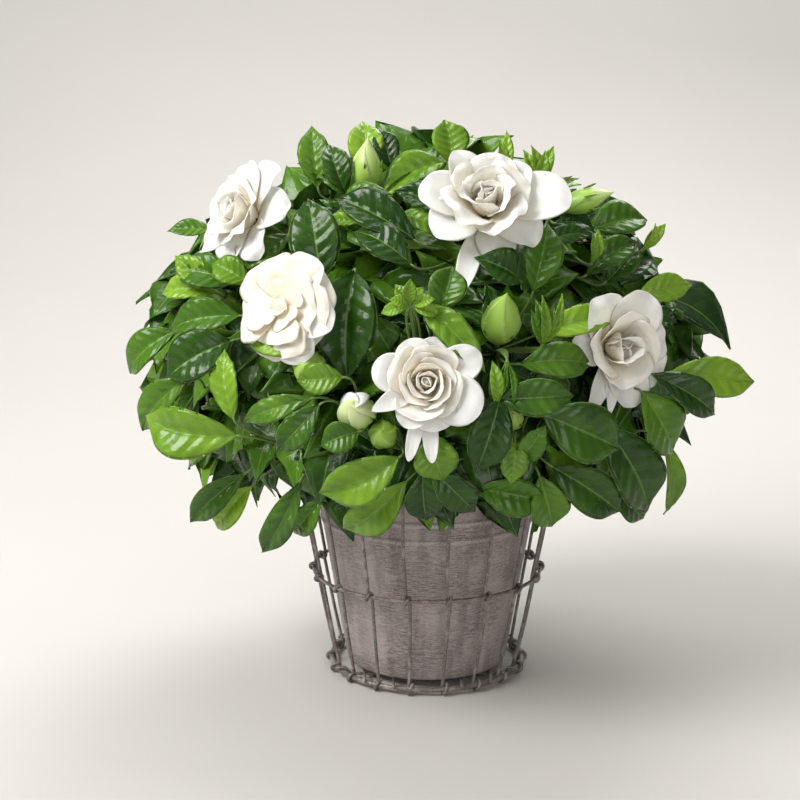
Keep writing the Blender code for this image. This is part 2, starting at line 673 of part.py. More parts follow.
def main():
    clear_scene()
    for name in ("potted_gardenia", "cutters"):
        bpy.context.scene.collection.children.link(bpy.data.collections.new(name))
    glaze = material("pot_grey", (0.28, 0.24, 0.22), 0.6)
    wire = material("aged_wire", (0.12, 0.10, 0.09), 0.5, 0.7)
    earth = material("soil", (0.05, 0.03, 0.02), 0.95)
    bark = material("bark", (0.20, 0.15, 0.09), 0.8)
    leaf = material("leaf_green", (0.05, 0.18, 0.04), 0.35)
    petal = material("petal_white", (0.88, 0.86, 0.78), 0.5)
    bud = material("bud_green", (0.30, 0.45, 0.12), 0.45)
    make_pot(glaze)
    make_soil(earth)
    make_basket(wire)
    make_woody_stems(bark)
    for name in BLOOMS:
        make_bloom(name, petal)
    for name in BUDS:
        make_bud(name, bud)
    bpy.context.view_layer.update()
    make_sprays(leaf)


main()
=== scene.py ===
"""The looks of the potted gardenia: leaves, blooms, buds, bark, pot, soil and basket wires."""
import math

import bpy
import numpy as np
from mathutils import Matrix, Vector


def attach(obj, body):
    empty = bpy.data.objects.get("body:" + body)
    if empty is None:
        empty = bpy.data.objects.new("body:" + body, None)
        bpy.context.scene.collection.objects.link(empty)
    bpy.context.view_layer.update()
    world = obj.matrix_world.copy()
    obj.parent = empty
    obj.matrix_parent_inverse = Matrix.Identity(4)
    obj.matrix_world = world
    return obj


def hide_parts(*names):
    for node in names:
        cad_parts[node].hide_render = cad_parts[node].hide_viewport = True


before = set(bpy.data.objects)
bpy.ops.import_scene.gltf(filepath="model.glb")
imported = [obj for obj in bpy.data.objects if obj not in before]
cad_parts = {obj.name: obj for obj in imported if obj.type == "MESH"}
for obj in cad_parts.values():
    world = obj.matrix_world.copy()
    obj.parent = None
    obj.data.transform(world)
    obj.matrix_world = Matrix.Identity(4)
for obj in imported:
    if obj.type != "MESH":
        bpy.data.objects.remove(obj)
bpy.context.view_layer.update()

MM = 0.001
UPWARDS = np.array((0.0, 0.0, 1.0))
# The crown of leaves fills a rounded dome: its middle and its three radii in millimetres
DOME_CENTRE = np.array((-2.0, 0.0, 240.0))
DOME_RADII = np.array((206.0, 182.0, 155.0))

# ---------------------------------------------------------------- plant layout, in millimetres

# Where the trunk's limbs divide
FORKS = np.array((
    (0, 15, 225), (-60, 0, 215), (60, 5, 215), (-42, -58, 205), (42, -58, 205),
    (-48, 58, 210), (48, 58, 210),
), float)

# Ends of the green shoots, in the order of leaf_spray_01 to leaf_spray_23
SHOOT_TIPS = np.array((
    (-98, -48, 322), (33, -82, 325), (-79, -112, 274), (-3, -138, 236), (100, -88, 250),
    (-43, -55, 345), (42, -122, 258), (-46, -140, 216), (82, -55, 340), (132, 10, 310),
    (5, 35, 365), (-160, -20, 275), (-155, -60, 205), (-88, -105, 185), (8, -122, 182),
    (60, -128, 196), (165, -25, 235), (125, -90, 190), (-85, 85, 325), (85, 95, 320),
    (-125, 105, 225), (125, 105, 230), (0, 132, 240),
), float)
# Ends of the side twigs that carry a bud, by the number of their shoot
TWIGS = {2: (-74, -128, 246), 7: (-29, -144, 204), 15: (51, -140, 212)}

# Front leaves, as seen from the front: foot across and up, heading in degrees (0 to
# the right, 90 upwards), length, width, tone (0 dark to 1 light). Their depth follows the dome.
FRONT_LEAVES = (
    # below and beside the front bloom
    (-20, 195, 207, 58, 30, 0.75), (-15, 178, 223, 58, 26, 0.75), (0, 212, 285, 32, 28, 0.70),
    (-5, 185, 275, 36, 24, 0.15), (43, 235, 253, 52, 28, 0.10), (0, 187, 312, 45, 22, 0.20),
    (30, 172, 345, 48, 26, 0.45), (70, 178, 285, 40, 27, 0.50), (53, 205, 265, 28, 18, 0.70),
    (57, 190, 60, 30, 17, 0.60),
    # the dark leaves at the lower right
    (70, 222, 332, 60, 38, 0.20), (113, 208, 298, 74, 38, 0.10), (78, 184, 322, 60, 30, 0.20),
    (122, 162, 310, 42, 20, 0.15), (137, 228, 300, 54, 34, 0.60), (160, 184, 281, 66, 17, 0.75),
    (145, 238, 326, 56, 24, 0.20), (160, 236, 350, 64, 27, 0.90),
    # the lower left
    (-84, 172, 243, 64, 20, 0.30), (-70, 160, 235, 36, 18, 0.45), (-75, 232, 202, 50, 16, 0.60),
    (-70, 228, 229, 42, 20, 0.30), (-55, 245, 185, 30, 20, 0.60), (-45, 212, 200, 26, 20, 0.35),
    (-122, 170, 225, 56, 20, 0.35), (-118, 160, 232, 44, 20, 0.80),
    # between the blooms of the left half
    (-48, 307, 265, 66, 42, 0.12), (-70, 298, 100, 55, 34, 0.20), (-12, 312, 150, 44, 24, 0.15),
    (-10, 326, 154, 58, 28, 0.10), (-45, 335, 175, 24, 11, 0.85), (-20, 340, 340, 34, 16, 0.70),
    (-75, 258, 172, 46, 20, 0.75), (-118, 294, 155, 30, 20, 0.65), (-112, 302, 140, 22, 14, 0.50),
    # the left flank
    (-130, 292, 170, 44, 26, 0.45), (-140, 288, 148, 38, 18, 0.70), (-142, 284, 182, 40, 18, 0.85),
    (-124, 274, 194, 52, 26, 0.30), (-130, 258, 209, 50, 36, 0.20), (-172, 256, 222, 50, 27, 0.50),
    (-160, 232, 228, 54, 25, 0.60), (-125, 200, 174, 66, 34, 0.65), (-127, 212, 100, 44, 20, 0.70),
    (-148, 320, 178, 34, 14, 0.50), (-92, 325, 215, 36, 18, 0.40), (-115, 315, 195, 44, 22, 0.45),
    # the top
    (-75, 352, 97, 42, 22, 0.65), (-42, 362, 95, 36, 24, 0.85), (-55, 350, 110, 36, 20, 0.20),
    (-25, 366, 110, 28, 18, 0.15), (10, 370, 205, 46, 28, 0.75), (15, 370, 100, 28, 26, 0.75),
    (-60, 340, 20, 38, 22, 0.60), (15, 338, 155, 42, 22, 0.15),
    # between the blooms of the right half
    (-8, 290, 318, 56, 20, 0.75), (5, 285, 75, 30, 24, 0.40), (66, 293, 76, 44, 26, 0.40),
    (58, 300, 150, 34, 24, 0.15), (68, 268, 9, 56, 20, 0.85), (56, 252, 356, 50, 24, 0.45),
    (42, 233, 2, 48, 24, 0.25), (40, 230, 95, 28, 9, 0.80),
    # the right flank
    (108, 322, 12, 46, 28, 0.45), (104, 298, 30, 42, 20, 0.25), (118, 292, 50, 34, 18, 0.20),
    (140, 278, 12, 42, 20, 0.70), (148, 270, 340, 24, 12, 0.20), (75, 320, 8, 34, 14, 0.10),
    (112, 330, 30, 24, 14, 0.20), (85, 330, 350, 30, 18, 0.05), (142, 262, 300, 26, 12, 0.30),
)
# Tufts of young leaves: middle across and up, heading, spread, number, length, width, tone
TUFTS = (
    (70, 262, 88, 22, 6, 36, 7, 0.65), (47, 258, 268, 24, 5, 30, 4, 0.55),
    (-13, 290, 90, 120, 7, 19, 9, 0.75), (48, 360, 90, 12, 2, 32, 9, 0.92),
    (70, 350, 86, 22, 5, 34, 11, 0.85), (82, 348, 40, 14, 2, 22, 5, 0.60),
    (147, 306, 58, 16, 2, 26, 9, 0.92), (107, 305, 86, 10, 2, 24, 8, 0.75),
)
# Shares of the dome for a front leaf's foot and tip, and its tip's largest swing per length
FOOT_SHARE, TIP_SHARE, TIP_SWING = 0.93, 0.99, 0.38
# Hanging leaves at the back: foot, tip, width, tone
BACK_LEAVES = (
    ((0, 158, 262), (16, 188, 206), 34, 0.3), ((-60, 142, 196), (-82, 172, 134), 32, 0.3),
    ((66, 140, 196), (88, 170, 136), 32, 0.3), ((5, 140, 190), (-14, 165, 128), 32, 0.3),
)

# The five blooms: middle, facing, and the radius of the disc that no grown leaf may stand over
BLOOMS = {
    "flower_top_left": ((-124, -62, 338), (-0.70, -0.55, 0.42), 44),
    "flower_top": ((36, -108, 350), (0.02, -0.80, 0.60), 52),
    "flower_left": ((-95, -138, 288), (-0.50, -0.80, 0.30), 42),
    "flower_front": ((-3, -170, 245), (0.00, -0.96, 0.26), 42),
    "flower_right": ((121, -112, 256), (0.40, -0.90, 0.12), 46),
}
# The same discs for the seven buds and for two tufts
SITES = (
    *BLOOMS.values(), ((-42, -56, 365), (0.0, -0.8, 0.6), 22), ((45, -138, 276), (0.0, -1.0, 0.1), 26),
    ((-46, -152, 222), (0.0, -1.0, 0.1), 20), ((-30, -155, 208), (0.0, -1.0, 0.1), 14),
    ((-77, -142, 250), (0.0, -1.0, 0.1), 16), ((100, -60, 347), (0.3, -0.9, 0.3), 20),
    ((51, -150, 217), (0.0, -1.0, 0.1), 12), ((-14, -150, 292), (0.0, -1.0, 0.1), 20),
    ((72, -132, 275), (0.0, -1.0, 0.1), 18),
)

# ---------------------------------------------------------------- mesh helpers


def unit(vectors):
    """Vectors divided by their lengths."""
    vectors = np.asarray(vectors, float)
    return vectors / np.maximum(np.linalg.norm(vectors, axis=-1, keepdims=True), 1e-9)


def ease(x, low=0.0, high=1.0):
    """The smooth step 3t^2 - 2t^3 of x between low and high."""
    t = np.clip((x - low) / (high - low), 0, 1)
    return t * t * (3 - 2 * t)


def round_angles(count):
    """One full turn in equal steps, without its end."""
    return np.linspace(0, 2 * np.pi, count, endpoint=False)


def level_axes(degrees):
    """Two level directions at an angle about the upward axis: away from it and round it."""
    angle = math.radians(degrees)
    away = np.array((math.cos(angle), math.sin(angle), 0.0))
    return away, np.array((-math.sin(angle), math.cos(angle), 0.0))


def pairs(first, second):
    """UV pairs out of two grids, each stretched to the shape of both."""
    return np.stack(np.broadcast_arrays(first, second), -1)


def both_sides(upper, lower):
    """Rings of a blade: the columns of its upper side, then the inner ones below, backwards."""
    return np.concatenate([upper, lower[:, -2:0:-1]], 1)


def circles(path, radii, first, second, angle):
    """Circles round the points of a path, in the plane of two directions at each point."""
    circle = np.cos(angle)[None, :, None] * first[:, None] + np.sin(angle)[None, :, None] * second[:, None]
    return path[:, None] + radii * circle


def ring_faces(rows, ring, joined):
    """Quads between successive closed rings, as corner numbers; joined adds last to first."""
    row, place = np.meshgrid(np.arange(rows if joined else rows - 1), np.arange(ring), indexing="ij")
    following = (place + 1) % ring
    low, high = row * ring, (row + 1) % rows * ring
    return np.stack([low + place, low + following, high + following, high + place], -1).reshape(-1, 4)


class Block:
    """Closed rings of points with their UV, tone and underside values, and a material number.

    The first and last rings are capped, unless joined says that they meet like a hoop's. Faces are
    turned outwards by the sign of the volume that the quads span with the points' mean.
    """

    def __init__(self, rings, uv, tone, under=0.0, finish=0, joined=False):
        rows, ring = rings.shape[:2]
        self.points = rings.reshape(-1, 3)
        self.uv = np.broadcast_to(uv, (rows, ring, 2)).reshape(-1, 2)
        self.tone = np.broadcast_to(tone, (rows, ring)).reshape(-1)
        self.under = np.broadcast_to(under, (rows, ring)).reshape(-1)
        self.finish = finish
        self.quads = ring_faces(rows, ring, joined)
        self.caps = np.array([np.arange(ring)[::-1], (rows - 1) * ring + np.arange(ring)])
        if joined:
            self.caps = self.caps[:0]
        apex = self.points[self.quads] - self.points.mean(0)
        volume = np.einsum("ij,ij->i", apex[:, 0], np.cross(apex[:, 1], apex[:, 2])).sum()
        volume += np.einsum("ij,ij->i", apex[:, 0], np.cross(apex[:, 2], apex[:, 3])).sum()
        if volume < 0:
            self.quads = self.quads[:, ::-1]
            self.caps = self.caps[:, ::-1]


def make_piece(name, blocks, finishes, nodes):
    """One mesh object out of blocks given in millimetres, riding on the root body."""
    start = np.cumsum([0] + [len(b.points) for b in blocks])
    points = np.concatenate([b.points for b in blocks]) * MM
    quads = np.concatenate([b.quads + s for b, s in zip(blocks, start)])
    quad_finish = np.concatenate([np.full(len(b.quads), b.finish) for b in blocks])
    caps = [(b.caps + s, b.finish) for b, s in zip(blocks, start)]
    loops = np.concatenate([quads.reshape(-1)] + [c.reshape(-1) for c, f in caps])
    sizes = np.concatenate([np.full(len(quads), 4)] + [np.full(len(c), c.shape[1]) for c, f in caps])
    finish = np.concatenate([quad_finish] + [np.full(len(c), f) for c, f in caps])
    mesh = bpy.data.meshes.new(name)
    mesh.vertices.add(len(points))
    mesh.vertices.foreach_set("co", points.astype(np.float32).reshape(-1))
    mesh.loops.add(len(loops))
    mesh.loops.foreach_set("vertex_index", loops.astype(np.int32))
    mesh.polygons.add(len(sizes))
    mesh.polygons.foreach_set("loop_start", (np.cumsum(sizes) - sizes).astype(np.int32))
    mesh.polygons.foreach_set("material_index", finish.astype(np.int32))
    mesh.update(calc_edges=True)
    uv = np.concatenate([b.uv for b in blocks])[loops]
    mesh.uv_layers.new(name="surface").data.foreach_set("uv", uv.astype(np.float32).reshape(-1))
    for label in ("tone", "under"):
        values = np.concatenate([getattr(b, label) for b in blocks]).astype(np.float32)
        mesh.attributes.new(label, "FLOAT", "POINT").data.foreach_set("value", values)
    mesh.validate()
    mesh.shade_smooth()
    piece = bpy.data.objects.new(name, mesh)
    bpy.context.scene.collection.objects.link(piece)
    for made in finishes:
        mesh.materials.append(made)
    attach(piece, "root")
    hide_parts(*nodes)
    return piece


def tube(path, radii, sides=10, across=(0.31, 0.22, 0.92), tone=0.5, finish=0):
    """A round tube: circles of the given radii, square to the path at each of its points.

    Each circle's first axis is the part of `across` square to the path, the second is their cross
    product with the path's direction. UV runs once round and once along.
    """
    path = np.asarray(path, float)
    forward = unit(np.gradient(path, axis=0))
    across = np.broadcast_to(np.asarray(across, float), path.shape)
    first = unit(across - (across * forward).sum(1, keepdims=True) * forward)
    second = np.cross(forward, first)
    angle = round_angles(sides)
    radii = np.broadcast_to(radii, (len(path),))[:, None, None]
    rings = circles(path, radii, first, second, angle)
    run = np.linspace(0, 1, len(path))[:, None]
    return Block(rings, pairs(angle[None, :] / (2 * np.pi), run), tone, finish=finish)


def bend_through(points, count):
    """A smooth path through control points: a Bezier curve of their number, sampled evenly."""
    points = np.asarray(points, float)
    degree = len(points) - 1
    t = np.linspace(0, 1, count)[:, None]
    choose = np.array([math.comb(degree, k) for k in range(degree + 1)])
    k = np.arange(degree + 1)
    return (choose * t ** k * (1 - t) ** (degree - k)) @ points


# ---------------------------------------------------------------- leaves

# Rows and columns of a leaf: the front leaves, young leaves and sepals, and the dense cover
FINE, COARSE, COVER = (36, 11), (24, 9), (8, 5)
# Side veins on each half of a leaf, and how far along they lean by the time they reach its edge
VEINS, VEIN_SWEEP = 6.5, 0.18
# Half the thickness of the blade, and what the midrib adds to it at the foot
BLADE_HALF, RIB_HALF = 0.28, 0.5
# The lowest height that a leaf of the cover may reach, and how far the skirt is pulled in in front
LOWEST_TIP, FRONT_PULL = 122, 8


def leaf_outline(u):
    """Half width along a leaf, 0 to 1: (4 u (1-u))^0.9, drawn in by 0.38 to a drip tip."""
    body = (4 * u * (1 - u)) ** 0.9
    return body * (1 - 0.38 * ease(u, 0.74, 1.0)) + 0.03 * (1 - u)


def leaf(foot, tip, width, facing, tone, bow=0.09, fold=0.22, curl=0.05, wave=0.02, twist=0.0,
         sway=0.0, phase=0.0, finish=0, grid=FINE):
    """A leaf blade with thickness, from foot to tip, its upper side towards `facing`.

    The midrib is the straight line from foot to tip, raised by 4 bow u (1-u), dropped by curl u^3
    and bent sideways by 4 sway u (1-u). Across, the blade is a V that flattens towards its edges.
    Between the side veins, which leave the midrib at whole values of VEINS (u - VEIN_SWEEP
    |v|^1.2), it swells by a squared sine, except on the coarse grid of the cover. The edges wave,
    and the whole blade may twist about the midrib.
    """
    foot, tip = np.asarray(foot, float), np.asarray(tip, float)
    along = tip - foot
    length = np.linalg.norm(along)
    axis = along / length
    across = unit(np.cross(axis, facing))
    face = np.cross(across, axis)
    rows, columns = grid
    u = np.linspace(0, 1, rows)[:, None]
    v = np.linspace(-1, 1, columns)[None, :]
    side = np.abs(v)
    half = np.maximum(width / 2 * leaf_outline(u), 0.75 * (1 - u) + 0.12)
    turn = twist * (u - 0.3)
    flat = across * np.cos(turn)[..., None] + face * np.sin(turn)[..., None]
    lift_way = face * np.cos(turn)[..., None] - across * np.sin(turn)[..., None]
    swell = np.sin(np.pi * VEINS * (u - VEIN_SWEEP * side ** 1.2)) ** 2 * (grid != COVER)
    swell = swell * np.minimum(side / 0.18, 1) * (1 - side ** 5)
    swell = swell * ease(u, 0.02, 0.12) * (1 - ease(u, 0.88, 1))
    ripple = side ** 2 * np.sin(2 * np.pi * 1.35 * u + phase + np.where(v > 0, 2.1, 0.0))
    height = fold * half * (side - 0.38 * side ** 2.4) + 0.018 * length * swell + wave * length * ripple
    rib = length * (4 * bow * u * (1 - u) - curl * u ** 3)
    aside = length * 4 * sway * u * (1 - u)
    middle = foot + axis * (u * length)[..., None] + face * rib[..., None] + across * aside[..., None]
    top = middle + flat * (v * half)[..., None] + lift_way * height[..., None]
    thick = np.minimum(BLADE_HALF, half * 0.5) * (1 - 0.6 * side ** 4)
    thick = thick + RIB_HALF * np.exp(-(side / 0.09) ** 2) * (1 - 0.7 * u)
    rings = both_sides(top, top - lift_way * (2 * thick)[..., None])
    uv = pairs(u, (v + 1) / 2)
    under = np.zeros(rings.shape[:2])
    under[:, columns:] = 1
    return Block(rings, both_sides(uv, uv), tone, under, finish)


def outward(point):
    """The way out of the crown at a point, square to the dome through it, leaning upwards."""
    way = (np.asarray(point, float) - DOME_CENTRE) / DOME_RADII ** 2
    return unit(unit(way) + (0, 0, 0.35))


def nearest_fork(tip):
    """The limb's end that a shoot grows from."""
    return FORKS[np.argmin(np.linalg.norm(FORKS - tip, axis=1))]


def branch_end(tip):
    """Where the woody branch towards a shoot ends."""
    fork = nearest_fork(tip)
    return fork + 0.45 * (tip - fork)


STARTS = np.array([branch_end(tip) for tip in SHOOT_TIPS])


def nearest_shoot(point):
    """The number of the shoot whose stem passes nearest to a point, and that stem point."""
    run = SHOOT_TIPS - STARTS
    share = ((point - STARTS) * run).sum(1) / (run * run).sum(1)
    spots = STARTS + run * np.clip(share, 0.05, 0.92)[:, None]
    best = int(np.argmin(np.linalg.norm(spots - point, axis=1)))
    return best, spots[best]


class Crown:
    """All leaves of the plant, sorted by the spray that carries them."""

    def __init__(self):
        self.rng = np.random.default_rng(11)
        self.blocks = [[] for tip in SHOOT_TIPS]

    def add(self, foot, tip, width, tone, roll=0.0, lift=0.0, turn=0.0, spray=None, grid=COARSE):
        """Add one leaf and the stalk that joins it to its shoot.

        Its face looks out of the crown, swung forwards by turn, and is rolled about the leaf by
        roll degrees. spray is the shoot's number and where on it the stalk starts; without it, the
        nearest shoot is taken. Seven random draws vary the tone, bow, fold, curl, wave, twist and
        sway.
        """
        foot, tip = np.asarray(foot, float), np.asarray(tip, float)
        facing = unit(outward((foot + tip) / 2) + turn * np.array((0, -1, 0.15)))
        foot, tip = foot + facing * lift, tip + facing * lift
        axis = unit(tip - foot)
        roll = math.radians(roll)
        square = unit(facing - (facing @ axis) * axis)
        facing = square * math.cos(roll) + np.cross(axis, square) * math.sin(roll)
        number, root = nearest_shoot(foot) if spray is None else spray
        draw = self.rng.uniform(-1, 1, 7)
        shape = leaf(foot, tip, width, facing, np.clip(tone + 0.08 * draw[0], 0, 1),
                     bow=0.10 + 0.05 * draw[1], fold=0.58 + 0.28 * draw[2],
                     curl=0.08 + 0.07 * draw[3], wave=0.022 + 0.012 * draw[4],
                     twist=0.35 * draw[5], sway=0.05 * draw[6], phase=3 * draw[0], grid=grid)
        reach = min(14.0, 0.4 * np.linalg.norm(foot - root))
        bends = [root, foot - facing * reach - axis * 0.5 * reach, foot - axis * 0.4 * reach, foot + axis]
        stalk = tube(bend_through(bends, 7), np.linspace(1.0, 0.8, 7), 6, across=unit((0.3, 0.5, 0.8)),
                     tone=0.2, finish=1)
        self.blocks[number] += [shape, stalk]


def dome_power(x, z):
    """The dome's power at shares x and z of its radii.

    It is 2 below the centre, 1.55 above it on the left and up to 0.20 less towards the right,
    where the plant slopes more.
    """
    return 1.55 - 0.20 * min(max(x, 0.0), 1.0) if z > 0 else 2.0


def shell(point):
    """How far out a point lies in the crown: 1 on the dome, less inside it.

    With the dome's power p and x, y and z as shares of its radii: (|x|^p + |y|^p + |z|^p)^(1/p).
    """
    share = (np.asarray(point) - DOME_CENTRE) / DOME_RADII
    power = dome_power(share[0], share[2])
    return (np.abs(share) ** power).sum() ** (1 / power)


def on_dome(across, up, share):
    """The point of the crown's front at a share of the dome: x and z are given, y is solved.

    With the shell's power p, |y| / radius is (share^p - |x|^p - |z|^p)^(1/p), x and z being shares
    of their own radii; outside the outline it is nearly 0.
    """
    x, z = (np.array((across, up)) - DOME_CENTRE[[0, 2]]) / DOME_RADII[[0, 2]]
    power = dome_power(x, z)
    left = max(share ** power - abs(x) ** power - abs(z) ** power, 0.01)
    return np.array((across, -DOME_RADII[1] * left ** (1 / power), up))


def lay_front(crown):
    """The front leaves: each foot just under the dome, each tip on it.

    A row's length is the one seen from the front. The tip lies at most TIP_SWING of it in front of
    the foot or behind it, so the leaf itself is up to 7 per cent longer.
    """
    for across, up, heading, length, width, tone in FRONT_LEAVES:
        turn = math.radians(heading)
        foot = on_dome(across, up, FOOT_SHARE)
        tip = on_dome(across + length * math.cos(turn), up + length * math.sin(turn), TIP_SHARE)
        tip[1] = foot[1] + min(max(tip[1] - foot[1], -TIP_SWING * length), TIP_SWING * length)
        crown.add(foot, tip, width, tone, lift=2, turn=0.9, grid=FINE)


def lay_tufts(crown):
    """Tufts: young leaves that fan out from one point, in turn a little forwards and back."""
    for across, up, heading, spread, count, length, width, tone in TUFTS:
        foot = on_dome(across, up, TIP_SHARE)
        for k in range(count):
            turn = math.radians(heading + spread * ((2 * k + 1) / count - 1))
            way = unit((math.cos(turn), -0.30 if k % 2 else 0.05, math.sin(turn)))
            tip = foot + length * (1 - 0.12 * (k % 3)) * way
            crown.add(foot + 2 * way, tip, width, tone, lift=2, turn=0.5)


def hides_bloom(foot, tip):
    """Whether a leaf would stand over a bloom or bud: some point of it above one's disc."""
    points = foot + np.linspace(0.2, 1, 5)[:, None] * (tip - foot)
    for middle, facing, radius in SITES:
        away = points - middle
        above = away @ unit(facing)
        aside = np.linalg.norm(away - above[:, None] * unit(facing), axis=1)
        if ((above > -6) & (aside < radius)).any():
            return True
    return False


def grow_whorls(crown):
    """Leaves in threes down every shoot, opening from the tip: three levels of three.

    A level's numbers are its distance back from the tip, its spread in degrees and its leaves'
    length. A leaf is left out where it would reach the front leaves, a bloom or the rim.
    """
    for number, tip in enumerate(SHOOT_TIPS):
        axis = unit(tip - STARTS[number])
        side = unit(np.cross(axis, (0.2, 0.3, 0.93)))
        other = np.cross(axis, side)
        for level, (back, spread, length) in enumerate(((6, 50, 56), (24, 75, 66), (44, 95, 62))):
            for arm in range(3):
                draw = crown.rng.uniform(-1, 1, 4)
                angle = math.radians(120 * arm + 60 * level + 47 * number + 14 * draw[0])
                lean = math.radians(spread + 8 * draw[1])
                out = side * math.cos(angle) + other * math.sin(angle)
                heading = axis * math.cos(lean) + out * math.sin(lean)
                foot = tip - axis * back + heading * 4
                size = length * (1 + 0.12 * draw[2])
                end = foot + heading * size - np.array((0, 0, 0.16 * size))
                middle = (foot + end) / 2
                front = middle[1] < -40
                if front and shell(middle) > 0.86 or end[2] < 112 or shell(end) > 1.03:
                    continue
                if front and shell(end) > 0.93 or hides_bloom(foot, end):
                    continue
                crown.add(foot, end, 0.44 * size, 0.35 + 0.3 * draw[3], grid=COVER,
                          spray=(number, tip - axis * back))


def grow_fill(crown, count=520):
    """The dense cover: leaves laid like shingles on a golden-angle spiral over the dome.

    Each leaf's middle sits at a share of the dome's radius, lower in front where the listed front leaves
    lie over it. Its midrib runs mostly down the dome, partly sideways and partly outwards.
    """
    steps = np.arange(count) + 0.5
    height = 1 - 1.66 * steps / count
    angle = steps * math.pi * (3 - math.sqrt(5))
    flat = np.sqrt(np.maximum(1 - height ** 2, 0))
    ways = np.stack([flat * np.cos(angle), flat * np.sin(angle), height], 1)
    for way in ways:
        draw = crown.rng.uniform(-1, 1, 6)
        front = ease(-way[1], 0.0, 0.45)
        depth = (0.90 - 0.18 * front + 0.06 * draw[0]) / shell(DOME_CENTRE + DOME_RADII * way)
        sideways = unit(np.cross(way, UPWARDS) + 1e-6)
        down = np.cross(sideways, way)
        down = down if down[2] < 0 else -down
        rise = 0.7 + 0.4 * draw[3] + 0.9 * ease(way[2], 0.45, 0.9)
        heading = unit(down * (0.5 + 0.7 * draw[1]) + sideways * 1.2 * draw[2] + way * rise)
        size = 67 + 10 * draw[4]
        middle = DOME_CENTRE + DOME_RADII * way * depth
        foot, tip = middle - heading * size / 2, middle + heading * size / 2
        limit = 1.04 - 0.10 * front + 0.03 * draw[0]
        if shell(tip) > limit:
            shift = way * (shell(tip) - limit) * DOME_RADII
            foot, tip = foot - shift, tip - shift
        if tip[2] < LOWEST_TIP:
            foot, tip = foot + UPWARDS * (LOWEST_TIP - tip[2]), tip + UPWARDS * (LOWEST_TIP - tip[2])
        if np.hypot(foot[0], foot[1]) < 88 and foot[2] < 165 or hides_bloom(foot, tip):
            continue
        # Tone: lighter towards the top for young leaves; painted light and shade make it lighter to the left
        # and darker to the right and in front, and the low base tone paints shade on this under-layer.
        young_and_shade = 0.12 * way[2] - 0.12 * way[0] - 0.10 * front
        crown.add(foot, tip, 0.50 * size, 0.34 + young_and_shade + 0.30 * draw[5], roll=40 * draw[3],
                  turn=0.7 * ease(40 - middle[1], 0, 60), grid=COVER)


def grow_skirt(crown):
    """Two rows of leaves that hang over the rim and hide the basket's top hoop.

    Each row has the radius and height of its feet, the radius and height of its tips, and its
    number of leaves. In front, both radii are less by FRONT_PULL.
    """
    for row, (near, high, far, low, count) in enumerate(((96, 190, 130, 132, 26), (128, 222, 168, 166, 30))):
        for k in range(count):
            draw = crown.rng.uniform(-1, 1, 5)
            angle = 2 * math.pi * (k + 0.5 * row + 0.25 * draw[0]) / count
            swing = angle + 0.22 * draw[1]
            pull = FRONT_PULL if math.sin(angle) < -0.5 else 0
            inner, outer = near - pull, far - pull
            foot = np.array((inner * math.cos(angle), inner * math.sin(angle), high + 5 * draw[2]))
            tip = np.array((outer * math.cos(swing), outer * math.sin(swing), low + 7 * draw[3]))
            crown.add(foot, tip, 0.47 * np.linalg.norm(tip - foot), 0.35 + 0.3 * draw[4], grid=COVER)


# ---------------------------------------------------------------- materials


def grain_group():
    """The grain that every finish shares: stretched noise, given raw and as a soft-edged mask."""
    tree = bpy.data.node_groups.new("grain", "ShaderNodeTree")
    for label in ("Vector", "Stretch"):
        tree.interface.new_socket(label, in_out="INPUT", socket_type="NodeSocketVector")
    for label in ("Scale", "Detail", "Roughness", "Low", "High"):
        tree.interface.new_socket(label, in_out="INPUT", socket_type="NodeSocketFloat")
    for label in ("Noise", "Mask"):
        tree.interface.new_socket(label, in_out="OUTPUT", socket_type="NodeSocketFloat")
    given, result = tree.nodes.new("NodeGroupInput"), tree.nodes.new("NodeGroupOutput")
    n = Nodes(tree)
    noise = n.new("TexNoise")
    n.feed(noise.inputs["Vector"], n.stretched(given.outputs["Vector"], given.outputs["Stretch"]))
    for label in ("Scale", "Detail", "Roughness"):
        n.feed(noise.inputs[label], given.outputs[label])
    n.feed(result.inputs["Noise"], noise.outputs["Fac"])
    n.feed(result.inputs["Mask"], n.step(noise.outputs["Fac"], given.outputs["Low"], given.outputs["High"]))
    return tree


